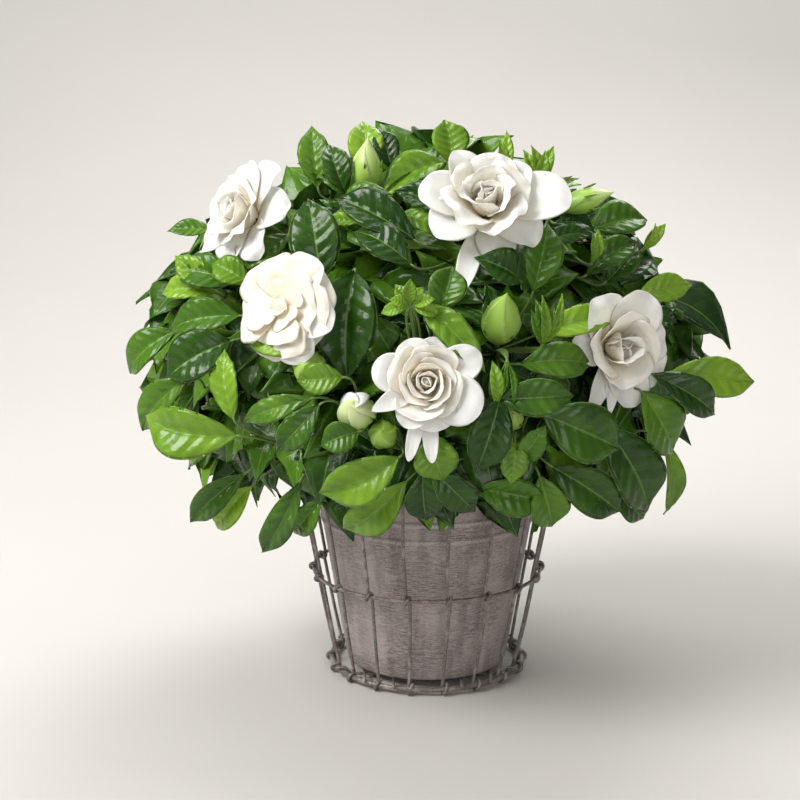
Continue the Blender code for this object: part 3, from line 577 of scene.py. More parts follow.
class Nodes:
    """Short calls for the nodes of one tree, and for the sockets of its shader if it has one."""

    def __init__(self, tree, shader=None):
        self.tree, self.shader = tree, shader

    def new(self, kind, **settings):
        node = self.tree.nodes.new("ShaderNode" + kind)
        for key, value in settings.items():
            setattr(node, key, value)
        return node

    def feed(self, socket, value):
        if isinstance(value, bpy.types.NodeSocket):
            self.tree.links.new(value, socket)
        else:
            socket.default_value = value

    def math(self, operation, *values, clamp=False):
        node = self.new("Math", operation=operation, use_clamp=clamp)
        for socket, value in zip(node.inputs, values):
            self.feed(socket, value)
        return node.outputs[0]

    def step(self, value, low, high, start=0.0, end=1.0):
        """A smooth step of value from low to high, giving start to end."""
        node = self.new("MapRange", interpolation_type="SMOOTHSTEP")
        for socket, given in zip(node.inputs, (value, low, high, start, end)):
            self.feed(socket, given)
        return node.outputs[0]

    def mix(self, share, first, second, most=None):
        """The first colour turned into the second by a share, or by that share times most."""
        node = self.new("Mix", data_type="RGBA")
        self.feed(node.inputs[0], share if most is None else self.math("MULTIPLY", share, most))
        self.feed(node.inputs[6], first)
        self.feed(node.inputs[7], second)
        return node.outputs[2]

    def grain(self, vector, scale, detail=3.0, rough=0.5, low=0.3, high=0.7, stretch=(1.0, 1.0, 1.0)):
        """The shared grain group with its own values; returns its raw noise and its mask."""
        node = self.new("Group", node_tree=GRAIN)
        values = dict(Vector=vector, Stretch=stretch, Scale=scale, Detail=detail, Roughness=rough,
                      Low=low, High=high)
        for label, value in values.items():
            self.feed(node.inputs[label], value)
        return node.outputs["Noise"], node.outputs["Mask"]

    def place(self):
        return self.new("TexCoord").outputs["Object"]

    def attribute(self, name):
        return self.new("Attribute", attribute_name=name).outputs["Fac"]

    def stretched(self, vector, scale):
        node = self.new("Mapping")
        self.feed(node.inputs["Vector"], vector)
        self.feed(node.inputs["Scale"], scale)
        return node.outputs[0]

    def surface(self, colour, source, spread, least):
        """Feed the shader's base colour, and a roughness of least plus spread times the source."""
        self.feed(self.shader.inputs["Base Color"], colour)
        self.feed(self.shader.inputs["Roughness"], self.math("MULTIPLY_ADD", source, spread, least))

    def bump(self, height, strength, distance):
        node = self.new("Bump")
        node.inputs["Strength"].default_value = strength
        node.inputs["Distance"].default_value = distance
        self.feed(node.inputs["Height"], height)
        self.feed(self.shader.inputs["Normal"], node.outputs[0])


GRAIN = grain_group()


def material(name, **sockets):
    """A material with its Principled BSDF's constant sockets set, and its node helper."""
    made = bpy.data.materials.new(name)
    made.use_nodes = True
    shader = made.node_tree.nodes["Principled BSDF"]
    for socket, value in sockets.items():
        shader.inputs[socket.replace("_", " ")].default_value = value
    return made, Nodes(made.node_tree, shader)


def leaf_material():
    """Waxy green: sunken side veins on UV, thin pale midrib, a painted highlight along the edge, painted
    shade between the veins, dark to light by tone.
    """
    made, n = material("gardenia_leaf", IOR=1.45, Specular_IOR_Level=0.42)
    parts = n.new("SeparateXYZ")
    n.feed(parts.inputs[0], n.new("UVMap", uv_map="surface").outputs[0])
    u, v = parts.outputs[0], parts.outputs[1]
    side = n.math("ABSOLUTE", n.math("MULTIPLY_ADD", v, 2.0, -1.0))
    sweep = n.math("MULTIPLY", n.math("POWER", side, 1.2), VEIN_SWEEP)
    count = n.math("MULTIPLY", n.math("SUBTRACT", u, sweep), VEINS)
    near = n.math("PINGPONG", count, 0.5)
    vein = n.math("MULTIPLY", n.step(near, 0.0, 0.09, 1.0, 0.0), n.step(side, 0.75, 0.95, 1.0, 0.0))
    rib = n.step(side, 0.02, 0.055, 1.0, 0.0)
    # Painted highlight: a pale band along the leaf's edge, light caught by its rim.
    lit_edge = n.step(side, 0.94, 0.98)
    place = n.place()
    broad = n.grain(place, 38.0, 2.0)[0]
    fine = n.grain(place, 900.0, 2.0)[0]
    tone = n.math("ADD", n.attribute("tone"), n.math("MULTIPLY_ADD", broad, 0.5, -0.25), clamp=True)
    body = n.mix(n.step(tone, 0.0, 0.5), (0.009, 0.040, 0.003, 1), (0.058, 0.155, 0.006, 1))
    body = n.mix(n.step(tone, 0.45, 1.0), body, (0.25, 0.44, 0.028, 1))
    # Painted shade: a soft darkening between the side veins, in place of the quilted blade's shading.
    body = n.mix(n.step(near, 0.08, 0.45), body, (0.004, 0.026, 0.004, 1), 0.10)
    body = n.mix(vein, body, (0.16, 0.32, 0.05, 1), 0.05)
    body = n.mix(lit_edge, body, (0.33, 0.50, 0.15, 1), 0.42)
    body = n.mix(rib, body, (0.26, 0.46, 0.09, 1), 0.32)
    pale = n.math("MULTIPLY_ADD", vein, 0.3, n.math("MULTIPLY", rib, 0.6))
    below = n.mix(pale, (0.13, 0.30, 0.05, 1), (0.32, 0.50, 0.13, 1))
    under = n.attribute("under")
    n.surface(n.mix(under, body, below), under, 0.25, n.math("MULTIPLY_ADD", broad, 0.22, 0.16))
    uneven = n.grain(place, 150.0, 2.0)[0]
    height = n.math("MULTIPLY_ADD", fine, 0.2, n.math("MULTIPLY", uneven, 2.5))
    height = n.math("MULTIPLY_ADD", vein, -0.25, n.math("MULTIPLY_ADD", n.step(near, 0.0, 0.5), 0.9, height))
    n.bump(n.math("ADD", height, n.math("MULTIPLY", rib, -0.6)), 0.6, 0.0004)
    return made


def stem_material():
    """Green young wood with a faint mottle."""
    made, n = material("young_stem")
    mottle = n.grain(n.place(), 260.0)[0]
    n.surface(n.mix(mottle, (0.06, 0.14, 0.03, 1), (0.20, 0.28, 0.08, 1)), mottle, 0.2, 0.45)
    return made


def petal_material():
    """Thick satin petals: white, warmer cream towards the heart, with faint lengthwise ribs; the lowest tones
    add painted shade deep in the heart.
    """
    made, n = material("gardenia_petal", Subsurface_Weight=0.30, Subsurface_Scale=0.006,
                       Subsurface_Radius=(1.0, 0.75, 0.45))
    uv = n.new("UVMap", uv_map="surface").outputs[0]
    ribs, ribbed = n.grain(uv, 1.0, 3.0, low=0.45, high=0.75, stretch=(3.0, 30.0, 1.0))
    soft = n.grain(n.place(), 60.0, 2.0)[0]
    tone = n.attribute("tone")
    # Low tone is cream at the petals' feet plus painted shade: tan to brown in the bloom's depths.
    body = n.mix(n.step(tone, 0.0, 0.45), (0.62, 0.40, 0.18, 1), (0.89, 0.80, 0.62, 1))
    body = n.mix(n.step(tone, 0.35, 0.95), body, (0.87, 0.855, 0.80, 1))
    n.surface(n.mix(ribbed, body, (0.78, 0.72, 0.58, 1), 0.20), soft, 0.2, 0.40)
    n.bump(n.math("MULTIPLY_ADD", ribs, 0.7, n.math("MULTIPLY", soft, 0.3)), 0.35, 0.0006)
    return made


def bud_material():
    """A furled bud: green at the foot, pale along the folded petal edges."""
    made, n = material("furled_bud", Coat_Weight=0.1, Coat_Roughness=0.3)
    tone = n.attribute("tone")
    soft = n.grain(n.place(), 180.0, 2.0)[0]
    body = n.mix(n.step(tone, 0.0, 0.6), (0.085, 0.22, 0.018, 1), (0.33, 0.52, 0.075, 1))
    body = n.mix(n.step(tone, 0.55, 1.0), body, (0.76, 0.80, 0.50, 1))
    n.surface(n.mix(soft, body, (0.25, 0.4, 0.08, 1), 0.3), soft, 0.15, 0.36)
    return made


def bark_material():
    """Grey-brown bark with fine cracks."""
    made, n = material("gardenia_bark")
    grain = n.grain(n.place(), 420.0, 6.0, 0.7, stretch=(1.0, 1.0, 0.25))[0]
    n.surface(n.mix(grain, (0.05, 0.035, 0.02, 1), (0.26, 0.20, 0.13, 1)), grain, 0.2, 0.7)
    n.bump(grain, 0.7, 0.001)
    return made


def soil_material():
    """Dark damp peat with lighter crumbs."""
    made, n = material("peat_soil")
    crumb, dry = n.grain(n.place(), 420.0, 8.0, 0.75, low=0.35, high=0.7)
    n.surface(n.mix(dry, (0.012, 0.008, 0.005, 1), (0.09, 0.055, 0.03, 1)), crumb, 0.15, 0.82)
    n.bump(crumb, 0.9, 0.003)
    return made


def pot_material():
    """Matte grey-brown clay, finely combed round, paler on the ridges and the rim's top with wear and painted
    highlight, and with soft dark vertical streaks of painted shadow.
    """
    made, n = material("combed_clay")
    place = n.place()
    comb, combed = n.grain(place, 1.0, 5.0, 0.75, 0.38, 0.64, stretch=(170.0, 170.0, 1900.0))
    lines, scored = n.grain(place, 1.0, 2.0, 0.5, 0.66, 0.74, stretch=(14.0, 14.0, 330.0))
    blotch, pale = n.grain(place, 30.0, 4.0, 0.5, 0.40, 0.68)
    # Painted shadow: soft dark vertical streaks round the wall.
    shadow_streaks = n.grain(place, 1.0, 3.0, 0.5, 0.48, 0.66, stretch=(90.0, 90.0, 3.0))[1]
    grit, specks = n.grain(place, 900.0, 3.0, 0.7, 0.52, 0.66)
    body = n.mix(combed, (0.135, 0.106, 0.105, 1), (0.440, 0.370, 0.362, 1))
    body = n.mix(pale, body, (0.470, 0.405, 0.398, 1), 0.55)
    body = n.mix(shadow_streaks, body, (0.130, 0.104, 0.104, 1), 0.50)
    body = n.mix(specks, body, (0.56, 0.51, 0.50, 1), 0.45)
    body = n.mix(scored, body, (0.50, 0.455, 0.445, 1), 0.45)
    # Pale speckle on the raised bands and the rim's top: wear, and painted highlight where they catch the
    # light.
    worn_and_lit = n.math("MULTIPLY", n.step(n.attribute("tone"), 0.55, 0.9), n.step(grit, 0.35, 0.60))
    n.surface(n.mix(worn_and_lit, body, (0.52, 0.475, 0.465, 1), 0.6), blotch, 0.2, 0.48)
    n.bump(n.math("MULTIPLY_ADD", comb, 0.7, n.math("MULTIPLY", lines, 0.5)), 0.6, 0.0006)
    return made


def wire_material():
    """Aged steel: grey-brown patina, chalky in patches and dark in the pits."""
    made, n = material("aged_wire_steel")
    place = n.place()
    patch, chalky = n.grain(place, 120.0, 4.0, 0.6, 0.48, 0.66)
    grit, bright = n.grain(place, 1300.0, 3.0, 0.5, 0.30, 0.62)
    body = n.mix(bright, (0.075, 0.060, 0.054, 1), (0.240, 0.205, 0.190, 1))
    n.surface(n.mix(chalky, body, (0.42, 0.385, 0.37, 1), 0.6), patch, 0.35, 0.22)
    n.feed(n.shader.inputs["Metallic"], n.step(patch, 0.40, 0.6, 0.35, 0.10))
    n.bump(n.math("MULTIPLY_ADD", patch, 0.4, n.math("MULTIPLY", grit, 0.6)), 0.6, 0.0004)
    return made


# ---------------------------------------------------------------- pot, soil and basket

POT_SIDES = 168
CLAY_TOP, CLAY_FOOT = 145.0, 6.8
# Heights of the two raised bands
BANDS = (113.0, 126.0)
# The wall's outer radius at its foot, and how much it widens over how much height
WALL_FOOT, WALL_SPREAD, WALL_RISE = 58.2, 21.4, 125.6
# The same for the inside, from INNER_FLOOR upwards
INNER_FLOOR, INNER_FOOT, INNER_SPREAD, INNER_RISE = 10.3, 54.8, 22.9, 126.7


def bumps_at(height, centres, half, depth):
    """Smooth raised bands: depth times a rounded hump of the given half height at each centre."""
    total = np.zeros_like(height)
    for centre in centres:
        total = total + depth * np.clip(1 - ((height - centre) / half) ** 2, 0, 1) ** 0.6
    return total


def comb_marks(height, angle):
    """Faint turning marks: sines of the height, drifting slowly round the wall."""
    broad = np.sin(2.9 * height + 0.4 * np.sin(angle))
    return 0.5 * (broad + np.sin(4.7 * height + 1.1 * np.sin(2 * angle + 1)))


def make_pot(clay):
    """The pot turned round Z: its outline runs up the outside, over the rim and down the inside."""
    wall_z = np.linspace(CLAY_FOOT + 1.2, CLAY_TOP - 8.5, 210)
    taper = WALL_FOOT + (wall_z - CLAY_FOOT) / WALL_RISE * WALL_SPREAD
    outer = taper + bumps_at(wall_z, BANDS, 2.4, 1.1)
    rim = np.array(((80.4, 137.2), (81.6, 138.3), (82.6, 140.0), (83.0, 141.8), (82.8, 143.4),
                    (82.0, 144.5), (80.8, CLAY_TOP), (79.4, 144.8), (78.2, 143.9), (77.75, 142.4)))
    inner_z = np.linspace(137.0, 11.0, 30)
    inner = INNER_FOOT + (inner_z - INNER_FLOOR) / INNER_RISE * INNER_SPREAD
    foot = [(reach, CLAY_FOOT) for reach in (0.05, 20, 40, 54, 57.2)] + [(58.0, CLAY_FOOT + 0.5)]
    outline = np.concatenate([foot, np.stack([outer, wall_z], 1), rim, np.stack([inner, inner_z], 1),
                              ((52.0, 10.4), (30.0, INNER_FLOOR), (0.05, INNER_FLOOR))])
    radius, height = outline[:, 0:1], outline[:, 1:2]
    angle = round_angles(POT_SIDES)[None, :]
    on_wall = ease(radius, 57.5, 59.5) * (1 - ease(height, 136, 139))
    on_wall = on_wall * (np.arange(len(outline))[:, None] < len(foot) + len(wall_z))
    around = radius + 0.06 * on_wall * comb_marks(height, angle)
    rings = np.stack([around * np.cos(angle), around * np.sin(angle), height + 0 * angle], -1)
    hump = bumps_at(height, BANDS, 1.7, 0.45) * on_wall
    # Tone rises on the raised bands and the rim's top, which the clay turns pale: wear and painted highlight.
    tone = 0.5 + hump + 0.3 * ease(height, 139, 143)
    block = Block(rings, pairs(angle / (2 * np.pi), height / CLAY_TOP), tone)
    return make_piece("combed_pot", [block], [clay], ["pot"])


def make_soil(peat):
    """A crumbly disc: the fill's outline turned round Z, its top raised by waves of many sizes."""
    low, side, top = 20, 8, 60
    radius = np.concatenate([np.linspace(0.05, 53, low), np.linspace(54, 75.6, side),
                             np.linspace(75.0, 1.0, top)])[:, None]
    level = np.concatenate([np.full(low, 10.8), np.linspace(12, 131.0, side),
                            np.linspace(132.0, 133.0, top)])[:, None]
    angle = round_angles(120)[None, :]
    x, y = radius * np.cos(angle), radius * np.sin(angle)
    crumbs = np.sin(1.1 * x + 0.7 * y) * np.sin(0.9 * y - 0.5 * x)
    crumbs = crumbs + 0.6 * np.sin(2.3 * x - 1.9 * y) * np.sin(2.1 * y + x)
    crumbs = crumbs + 0.5 * np.sin(0.35 * x + 2) * np.sin(0.31 * y)
    on_top = (np.arange(len(radius)) >= low + side)[:, None]
    rings = np.stack([x, y, level + 0.9 * crumbs * on_top], -1)
    block = Block(rings, np.stack([0.5 + x / 160, 0.5 + y / 160], -1), 0.5)
    return make_piece("peat_soil", [block], [peat], ["potting_soil"])


# The uprights: half their thickness, their number, and half the sideways shift of a wrap
WIRE, UPRIGHTS, WRAP_SHIFT = 1.2, 18, 1.4
FLOOR_WIRE = 1.15
# The hoops: radius, half their wire's thickness, and height
HOOPS = {"bottom_ring": (70.1, 2.0, 4.5), "mid_ring": (82.8, 1.3, 73.5), "top_ring": (97.0, 1.5, 147.0)}
# The floor's wires, as the distance from the middle of the four across and the two along
FLOOR_ACROSS, FLOOR_ALONG = (-45, -24, 24, 45), (-35, 35)


def make_hoop(name, steel):
    """A hoop of round wire, a little uneven: radius and height drift by a fraction of a millimetre."""
    radius, wire, height = HOOPS[name]
    angle = round_angles(180)
    drift = 0.25 * np.sin(3 * angle + radius) + 0.15 * np.sin(5 * angle)
    path = np.stack([(radius + drift) * np.cos(angle), (radius + drift) * np.sin(angle),
                     height + 0.15 * np.sin(2 * angle + 1)], 1)
    turn = round_angles(14)
    out = np.stack([np.cos(angle), np.sin(angle), 0 * angle], 1)
    rings = circles(path, wire, out, np.broadcast_to(UPWARDS, out.shape), turn)
    uv = pairs(turn[None, :] / (2 * np.pi), angle[:, None] / (2 * np.pi))
    return make_piece(name + "_wire", [Block(rings, uv, 0.5, joined=True)], [steel], [name])


def wrap(hoop, low, high, count):
    """Upright's centre line round a hoop, in (radius, sideways, height): a tight turn of wire.

    The angle runs from low to high degrees, 0 outside, 90 on top and 180 inside; the wire moves
    sideways by its own width while it passes the outside and the top.
    """
    radius, wire, height = HOOPS[hoop]
    turn = np.radians(np.linspace(low, high, count))
    reach = wire + WIRE + 0.05
    sideways = WRAP_SHIFT * (2 * ease(np.degrees(turn), 300, 430) - 1)
    return np.stack([radius + reach * np.cos(turn), sideways, height + reach * np.sin(turn)], 1)


def make_uprights(steel):
    """The uprights: hooked over the top hoop and wrapped once round the other two."""
    for index in range(UPRIGHTS):
        rng = np.random.default_rng(40 + index)
        top = wrap("top_ring", -40, 190, 20)
        top[:, 1] = -WRAP_SHIFT
        middle = wrap("mid_ring", 165, 560, 34)
        low = wrap("bottom_ring", 178, 480, 28)
        shares = np.linspace(0, 1, 16)[1:-1, None]
        upper = top[-1] + shares * (middle[0] - top[-1])
        lower = middle[-1] + shares * (low[0] - middle[-1])
        sag = np.sin(np.linspace(0, np.pi, 14))
        upper[:, 1] += rng.uniform(-0.8, 0.8) * sag
        lower[:, 1] += rng.uniform(-0.8, 0.8) * sag
        lower[:, 0] += rng.uniform(0, 0.6) * sag
        out, along = level_axes(360 / UPRIGHTS * index)
        path = np.concatenate([top, upper, middle, lower, low]) @ np.array((out, along, UPWARDS))
        make_piece(f"upright_wire_{index + 1:02d}", [tube(path, WIRE, 12, across=along)], [steel],
                   [f"upright_{index + 1:02d}"])


def make_floor_wires(steel):
    """The welded grid under the pot, each wire bent up and over the bottom hoop at its ends."""
    radius, wire, height = HOOPS["bottom_ring"]
    blocks = []
    over = height + wire + WIRE + 0.3
    wires = [(x, False, 5.3) for x in FLOOR_ACROSS] + [(y, True, 3.5) for y in FLOOR_ALONG]
    for offset, along_x, level in wires:
        hoop = math.sqrt(radius ** 2 - offset ** 2)
        slant = radius / hoop
        bends = ((4.6, over - 2.6), (3.2, over - 0.7), (1.6, over), (-1.6, over),
                 (-3.2, (over + level) / 2), (-5.2, level))
        side = np.array([(hoop + reach * slant, high) for reach, high in bends])
        run = np.concatenate([side * (-1, 1), side[::-1]])
        flat = np.full(len(run), float(offset))
        path = np.stack([run[:, 0], flat, run[:, 1]] if along_x else [flat, run[:, 0], run[:, 1]], 1)
        blocks.append(tube(path, FLOOR_WIRE, 10, across=(0, 1, 0) if along_x else (1, 0, 0)))
    return make_piece("floor_wires", blocks, [steel], ["floor_grid"])


# ---------------------------------------------------------------- stems


def make_stems(bark):
    """Trunk, limbs and branches as tapering tubes along smooth curves."""
    blocks = [tube(bend_through([(0, 0, 130), (1, -1, 142), (0, 0, 152), (0, 0, 164)], 12),
                   np.linspace(8.5, 6.5, 12), 14, across=(1, 0, 0))]
    start = np.array((0, 0, 155.0))
    for fork in FORKS:
        bend = (start + fork) / 2 + (0, 0, 8)
        limb = bend_through([start, bend, fork + 3 * unit(fork - bend)], 14)
        blocks.append(tube(limb, np.linspace(4.4, 3.2, 14), 12))
    for tip, end in zip(SHOOT_TIPS, STARTS):
        fork = nearest_fork(tip)
        branch = bend_through([fork, (fork + end) / 2 + (0, 0, 2), end], 8)
        blocks.append(tube(branch, np.linspace(2.8, 2.1, 8), 10))
    return make_piece("woody_branches", blocks, [bark], ["woody_stems"])


def shoot_stems(crown):
    """The green stem of each shoot, and the side twigs that carry a bud."""
    for number, (start, tip) in enumerate(zip(STARTS, SHOOT_TIPS)):
        path = bend_through([start, (start + tip) / 2 + (0, 0, 1), tip], 8)
        crown.blocks[number].append(tube(path, np.linspace(2.0, 1.5, 8), 10, tone=0.4, finish=1))
        if number in TWIGS:
            twig = np.array(TWIGS[number], float)
            knot = start + 0.7 * (tip - start)
            path = bend_through([knot, (knot + twig) / 2 + (0, 0, -2), twig], 8)
            crown.blocks[number].append(tube(path, 1.3, 8, tone=0.4, finish=1))


# ---------------------------------------------------------------- blooms

PETAL_ROWS, PETAL_COLUMNS = 26, 17


def frame_of(facing):
    """Three square axes as rows: right, up and the facing itself."""
    facing = unit(facing)
    right = unit(np.cross(UPWARDS, facing) + (1e-6, 0, 0))
    return np.array((right, np.cross(facing, right), facing))


def petal(centre, axes, azimuth, length, width, lean, open_to, cup=None, base=2.0, rise=0.0,
          wave=0.06, phase=0.0, point=0.0, tones=(0.35, 1.0), edge=0.0, bend=1.0, skew=0.0,
          shoulder=0.58, finish=0):
    """A petal of a bloom, with thickness.

    Its rows are closer towards the tip, as the sine of even steps. Its spine starts `base` from the
    bloom's axis at `rise`, heading `lean` degrees off the axis and opening to `open_to` degrees
    with the power `bend` of the way along. Across, it is an arc of radius `cup`, tilted by `skew`
    so that one edge tucks in. The outline is a claw that widens and then, from its `shoulder`,
    closes roundly, as (1 - c^2.4)^0.55, or to a point, as (1 - c)^0.8, mixed by `point`. Its rim
    waves, and rolls back by `edge`.
    """
    s = np.sin(np.linspace(0, np.pi / 2, PETAL_ROWS))[:, None]
    v = np.linspace(-1, 1, PETAL_COLUMNS)[None, :]
    cup = cup or 0.95 * width
    heading = np.radians(lean + (open_to - lean) * s ** bend)
    step = length * np.diff(s, axis=0, prepend=0)
    out = base + np.cumsum(np.sin(heading) * step, 0)
    high = rise + np.cumsum(np.cos(heading) * step, 0)
    closing = np.clip((s - shoulder) / (1 - shoulder), 0, 1)
    blunt = np.maximum(1 - closing ** 2.4, 0) ** 0.55
    sharp = (1 - closing) ** 0.8
    outline = (0.30 + 0.70 * ease(s, 0, 0.55)) * ((1 - point) * blunt + point * sharp)
    half = np.maximum(width / 2 * outline, 0.25)
    arc = v * half / cup
    sideways = cup * np.sin(arc)
    inward = cup * (1 - np.cos(arc)) + skew * v * half
    w = v * half / (width / 2)
    ripple = np.sin(2.8 * w + phase) * 0.5 + 0.5 * np.sin(5.3 * w * s + 2 * phase + 4 * s)
    ripple = ripple + 0.35 * np.sin(9 * w + 3 * phase) * s ** 3
    rolled = np.abs(w) ** 3 * ease(s, 0.3, 0.9) + 0.8 * ease(s, 0.78, 1) ** 2
    inward = inward + width * (wave * ease(s, 0.25, 1) * ripple - edge * rolled)
    radial, tangent = level_axes(azimuth)
    normal = -np.cos(heading)[..., None] * radial + np.sin(heading)[..., None] * UPWARDS
    spine = out[..., None] * radial + high[..., None] * UPWARDS
    top = spine + sideways[..., None] * tangent + inward[..., None] * normal
    thick = 0.30 * np.minimum(1, half / 2) * (1 - 0.5 * np.abs(v) ** 4)
    local = both_sides(top, top - normal * (2 * thick)[..., None])
    uv = pairs(s, (v + 1) / 2)
    # Darker towards the foot: cream, with painted shade where the foot lies deep in the bloom.
    tone = tones[0] + (tones[1] - tones[0]) * ease(s, 0.1, 0.8) + 0 * v
    return Block(np.asarray(centre, float) + local @ axes, both_sides(uv, uv), both_sides(tone, tone),
                 finish=finish)


def heart(centre, axes, size, layers, seed, cream_and_shade, wave, rim, roll):
    """The furled middle of a bloom: whorls of tucked petals, each opening wider than the last.

    cream_and_shade is the tone at a petal's foot, real cream darkened by painted shade deep in the heart, rim
    the one at its tip, and roll its edge roll.
    """
    rng = np.random.default_rng(seed)
    blocks = []
    turn = 0.0
    for count, length, width, lean, open_to, cup, base, low in layers:
        turn += 31.0
        for k in range(count):
            draw = rng.uniform(-1, 1, 5)
            blocks.append(petal(
                centre, axes, turn + 360 * k / count + 9 * draw[4], size * length * (1 + 0.07 * draw[0]),
                size * width * (1 + 0.08 * draw[3]), lean, open_to + 8 * draw[1], cup=size * cup,
                base=size * base, rise=size * low, wave=wave, phase=3 * draw[2],
                tones=(cream_and_shade, rim + 0.12 * draw[3]), edge=roll, skew=0.16, shoulder=0.72))
    tall = layers[0][1]
    core = furled(np.asarray(centre, float) - axes[2] * size * 0.2, axes[2],
                  size * (0.2 + 0.7 * tall), size * 0.14, 1.6, (cream_and_shade, cream_and_shade + 0.4))
    return blocks + [core]


# Whorls inside a bloom, for a size of 1: petals, length, width, lean, opening, cup, base and rise
ROSE_HEART = ((2, 0.46, 0.44, 0, -6, 0.16, 0.06, -0.08), (3, 0.52, 0.66, 2, 0, 0.27, 0.15, -0.12),
              (3, 0.56, 0.96, 8, 10, 0.42, 0.26, -0.16), (4, 0.62, 1.10, 16, 28, 0.58, 0.34, -0.22),
              (4, 0.74, 1.24, 26, 54, 0.80, 0.38, -0.28))
LOOSE_HEART = ((3, 0.48, 0.54, 0, -12, 0.19, 0.06, -0.04), (3, 0.62, 0.80, 4, -6, 0.30, 0.14, -0.08),
               (3, 0.78, 1.08, 12, 20, 0.48, 0.20, -0.14), (4, 0.92, 1.24, 24, 54, 0.85, 0.22, -0.24))
BALL_HEART = ((3, 0.60, 0.84, 0, -34, 0.28, 0.09, -0.02), (3, 0.78, 1.10, 8, -4, 0.44, 0.19, -0.10),
              (4, 0.94, 1.36, 22, 44, 0.82, 0.24, -0.20))
FLAT_HEART = ((3, 0.24, 0.36, 50, 40, 0.40, 0.03, -0.05), (3, 0.46, 0.86, 74, 72, 1.6, 0.04, -0.07),
              (4, 0.76, 1.24, 80, 82, 3.0, 0.05, -0.10), (5, 1.10, 1.46, 84, 92, 3.5, 0.06, -0.16))


def bloom(name, node, shoot, size, layers, outer, seed, cream_and_shade, wave, rim=0.82, roll=0.09):
    """A double bloom: heart, listed outer petals, and its stalk with narrow sepals.

    outer lists azimuth in degrees round the facing, from the bloom's right anticlockwise; length
    and width in millimetres; lean and opening in degrees; point, edge roll and wave.
    """
    centre = np.array(BLOOMS[node][0], float)
    axes = frame_of(BLOOMS[node][1])
    blocks = heart(centre, axes, size, layers, seed, cream_and_shade, wave, rim, roll)
    rng = np.random.default_rng(seed + 100)
    for azimuth, length, width, lean, open_to, point, edge, ruffle in outer:
        draw = rng.uniform(-1, 1, 2)
        blocks.append(petal(centre, axes, azimuth, length, width, lean, open_to, base=size * 0.15,
                            rise=-size * (0.30 + 0.05 * draw[0]), wave=ruffle, phase=3 * draw[1],
                            point=point, tones=(0.5, 1.0), edge=edge, bend=0.7, skew=0.10 * draw[1]))
    back = centre - axes[2] * size * 0.36
    tip = SHOOT_TIPS[shoot]
    way = unit(back - tip)
    path = bend_through([tip + 0.3 * way, (tip + back) / 2, back - axes[2] * 6, back + axes[2] * 2], 12)
    blocks.append(tube(path, np.linspace(1.7, 3.6, 12), 12, tone=0.7, finish=1))
    for k in range(6):
        angle = math.radians(60 * k + 20)
        out = axes[0] * math.cos(angle) + axes[1] * math.sin(angle)
        foot = back - axes[2] * 5 + out * 2
        blocks.append(leaf(foot, foot + axes[2] * 10 + out * 11, 3.4, unit(axes[2] - out * 0.5), 0.8,
                           finish=2, grid=COARSE))
    return make_piece(name, blocks, [petal_skin, stem_skin, leaf_skin], [node])


# ---------------------------------------------------------------- buds


def furled(foot, direction, length, radius, twist, tones):
    """A furled bud: a turned spindle whose section is five tucked lobes that twist upwards."""
    axes = frame_of(direction)
    u = np.linspace(0, 1, 44)[:, None]
    angle = round_angles(60)[None, :]
    body = np.sin(np.pi * u ** 0.80) ** 0.95
    shape = np.maximum(radius * (0.16 * (1 - u) + 0.98 * body * (1 - 0.22 * ease(u, 0.6, 1))), 0.15)
    whorl = (5 * angle / (2 * np.pi) + twist * u) % 1.0
    shape = shape * (1 + 0.16 * (whorl - 0.5) * ease(u, 0.15, 0.5))
    local = np.stack([shape * np.cos(angle), shape * np.sin(angle), u * length + 0 * angle], -1)
    rings = np.asarray(foot, float) + local @ axes
    rim = np.exp(-((whorl - 0.96) / 0.07) ** 2)
    tone = tones[0] + (tones[1] - tones[0]) * ease(u, 0.1, 0.9) + 0.3 * rim * ease(u, 0.1, 0.5)
    return Block(rings, pairs(angle / (2 * np.pi), u), np.clip(tone, 0, 1))


def bud(name, node, foot, direction, length, radius, twist, tones, sepals, reach, extra=()):
    """A bud on its stalk, with narrow sepals standing up round it to a share reach of its length."""
    direction = unit(direction)
    foot = np.asarray(foot, float) + 0.4 * direction
    start = foot + direction * length * 0.12
    blocks = [furled(start, direction, length * 0.88, radius, twist, tones)] + list(extra)
    blocks.append(tube(bend_through([foot, start, start + direction * length * 0.12], 6),
                       np.linspace(1.3, min(2.6, radius * 0.45), 6), 10, tone=0.6, finish=1))
    axes = frame_of(direction)
    for k in range(sepals):
        angle = 2 * math.pi * (k + 0.3) / sepals
        out = axes[0] * math.cos(angle) + axes[1] * math.sin(angle)
        base = start + direction * length * 0.04 + out * 1.4
        end = base + direction * length * reach + out * radius * 1.15
        blocks.append(leaf(base, end, 2.6, unit(out - direction * 0.2), 0.6, bow=0.04, finish=2, grid=COARSE))
    return make_piece(name, blocks, [bud_skin, stem_skin, leaf_skin, petal_skin], [node])


# ---------------------------------------------------------------- build

leaf_skin = leaf_material()
stem_skin = stem_material()
petal_skin = petal_material()
bud_skin = bud_material()
steel = wire_material()

make_pot(pot_material())
make_soil(soil_material())
for ring_name in HOOPS:
    make_hoop(ring_name, steel)
make_uprights(steel)
make_floor_wires(steel)
make_stems(bark_material())

crown = Crown()
shoot_stems(crown)
lay_front(crown)
lay_tufts(crown)
for foot, tip, width, tone in BACK_LEAVES:
    crown.add(foot, tip, width, tone, grid=FINE)
grow_whorls(crown)
grow_fill(crown)
grow_skirt(crown)
for number, blocks in enumerate(crown.blocks):
    make_piece(f"leafy_shoot_{number + 1:02d}", blocks, [leaf_skin, stem_skin],
               [f"leaf_spray_{number + 1:02d}"])

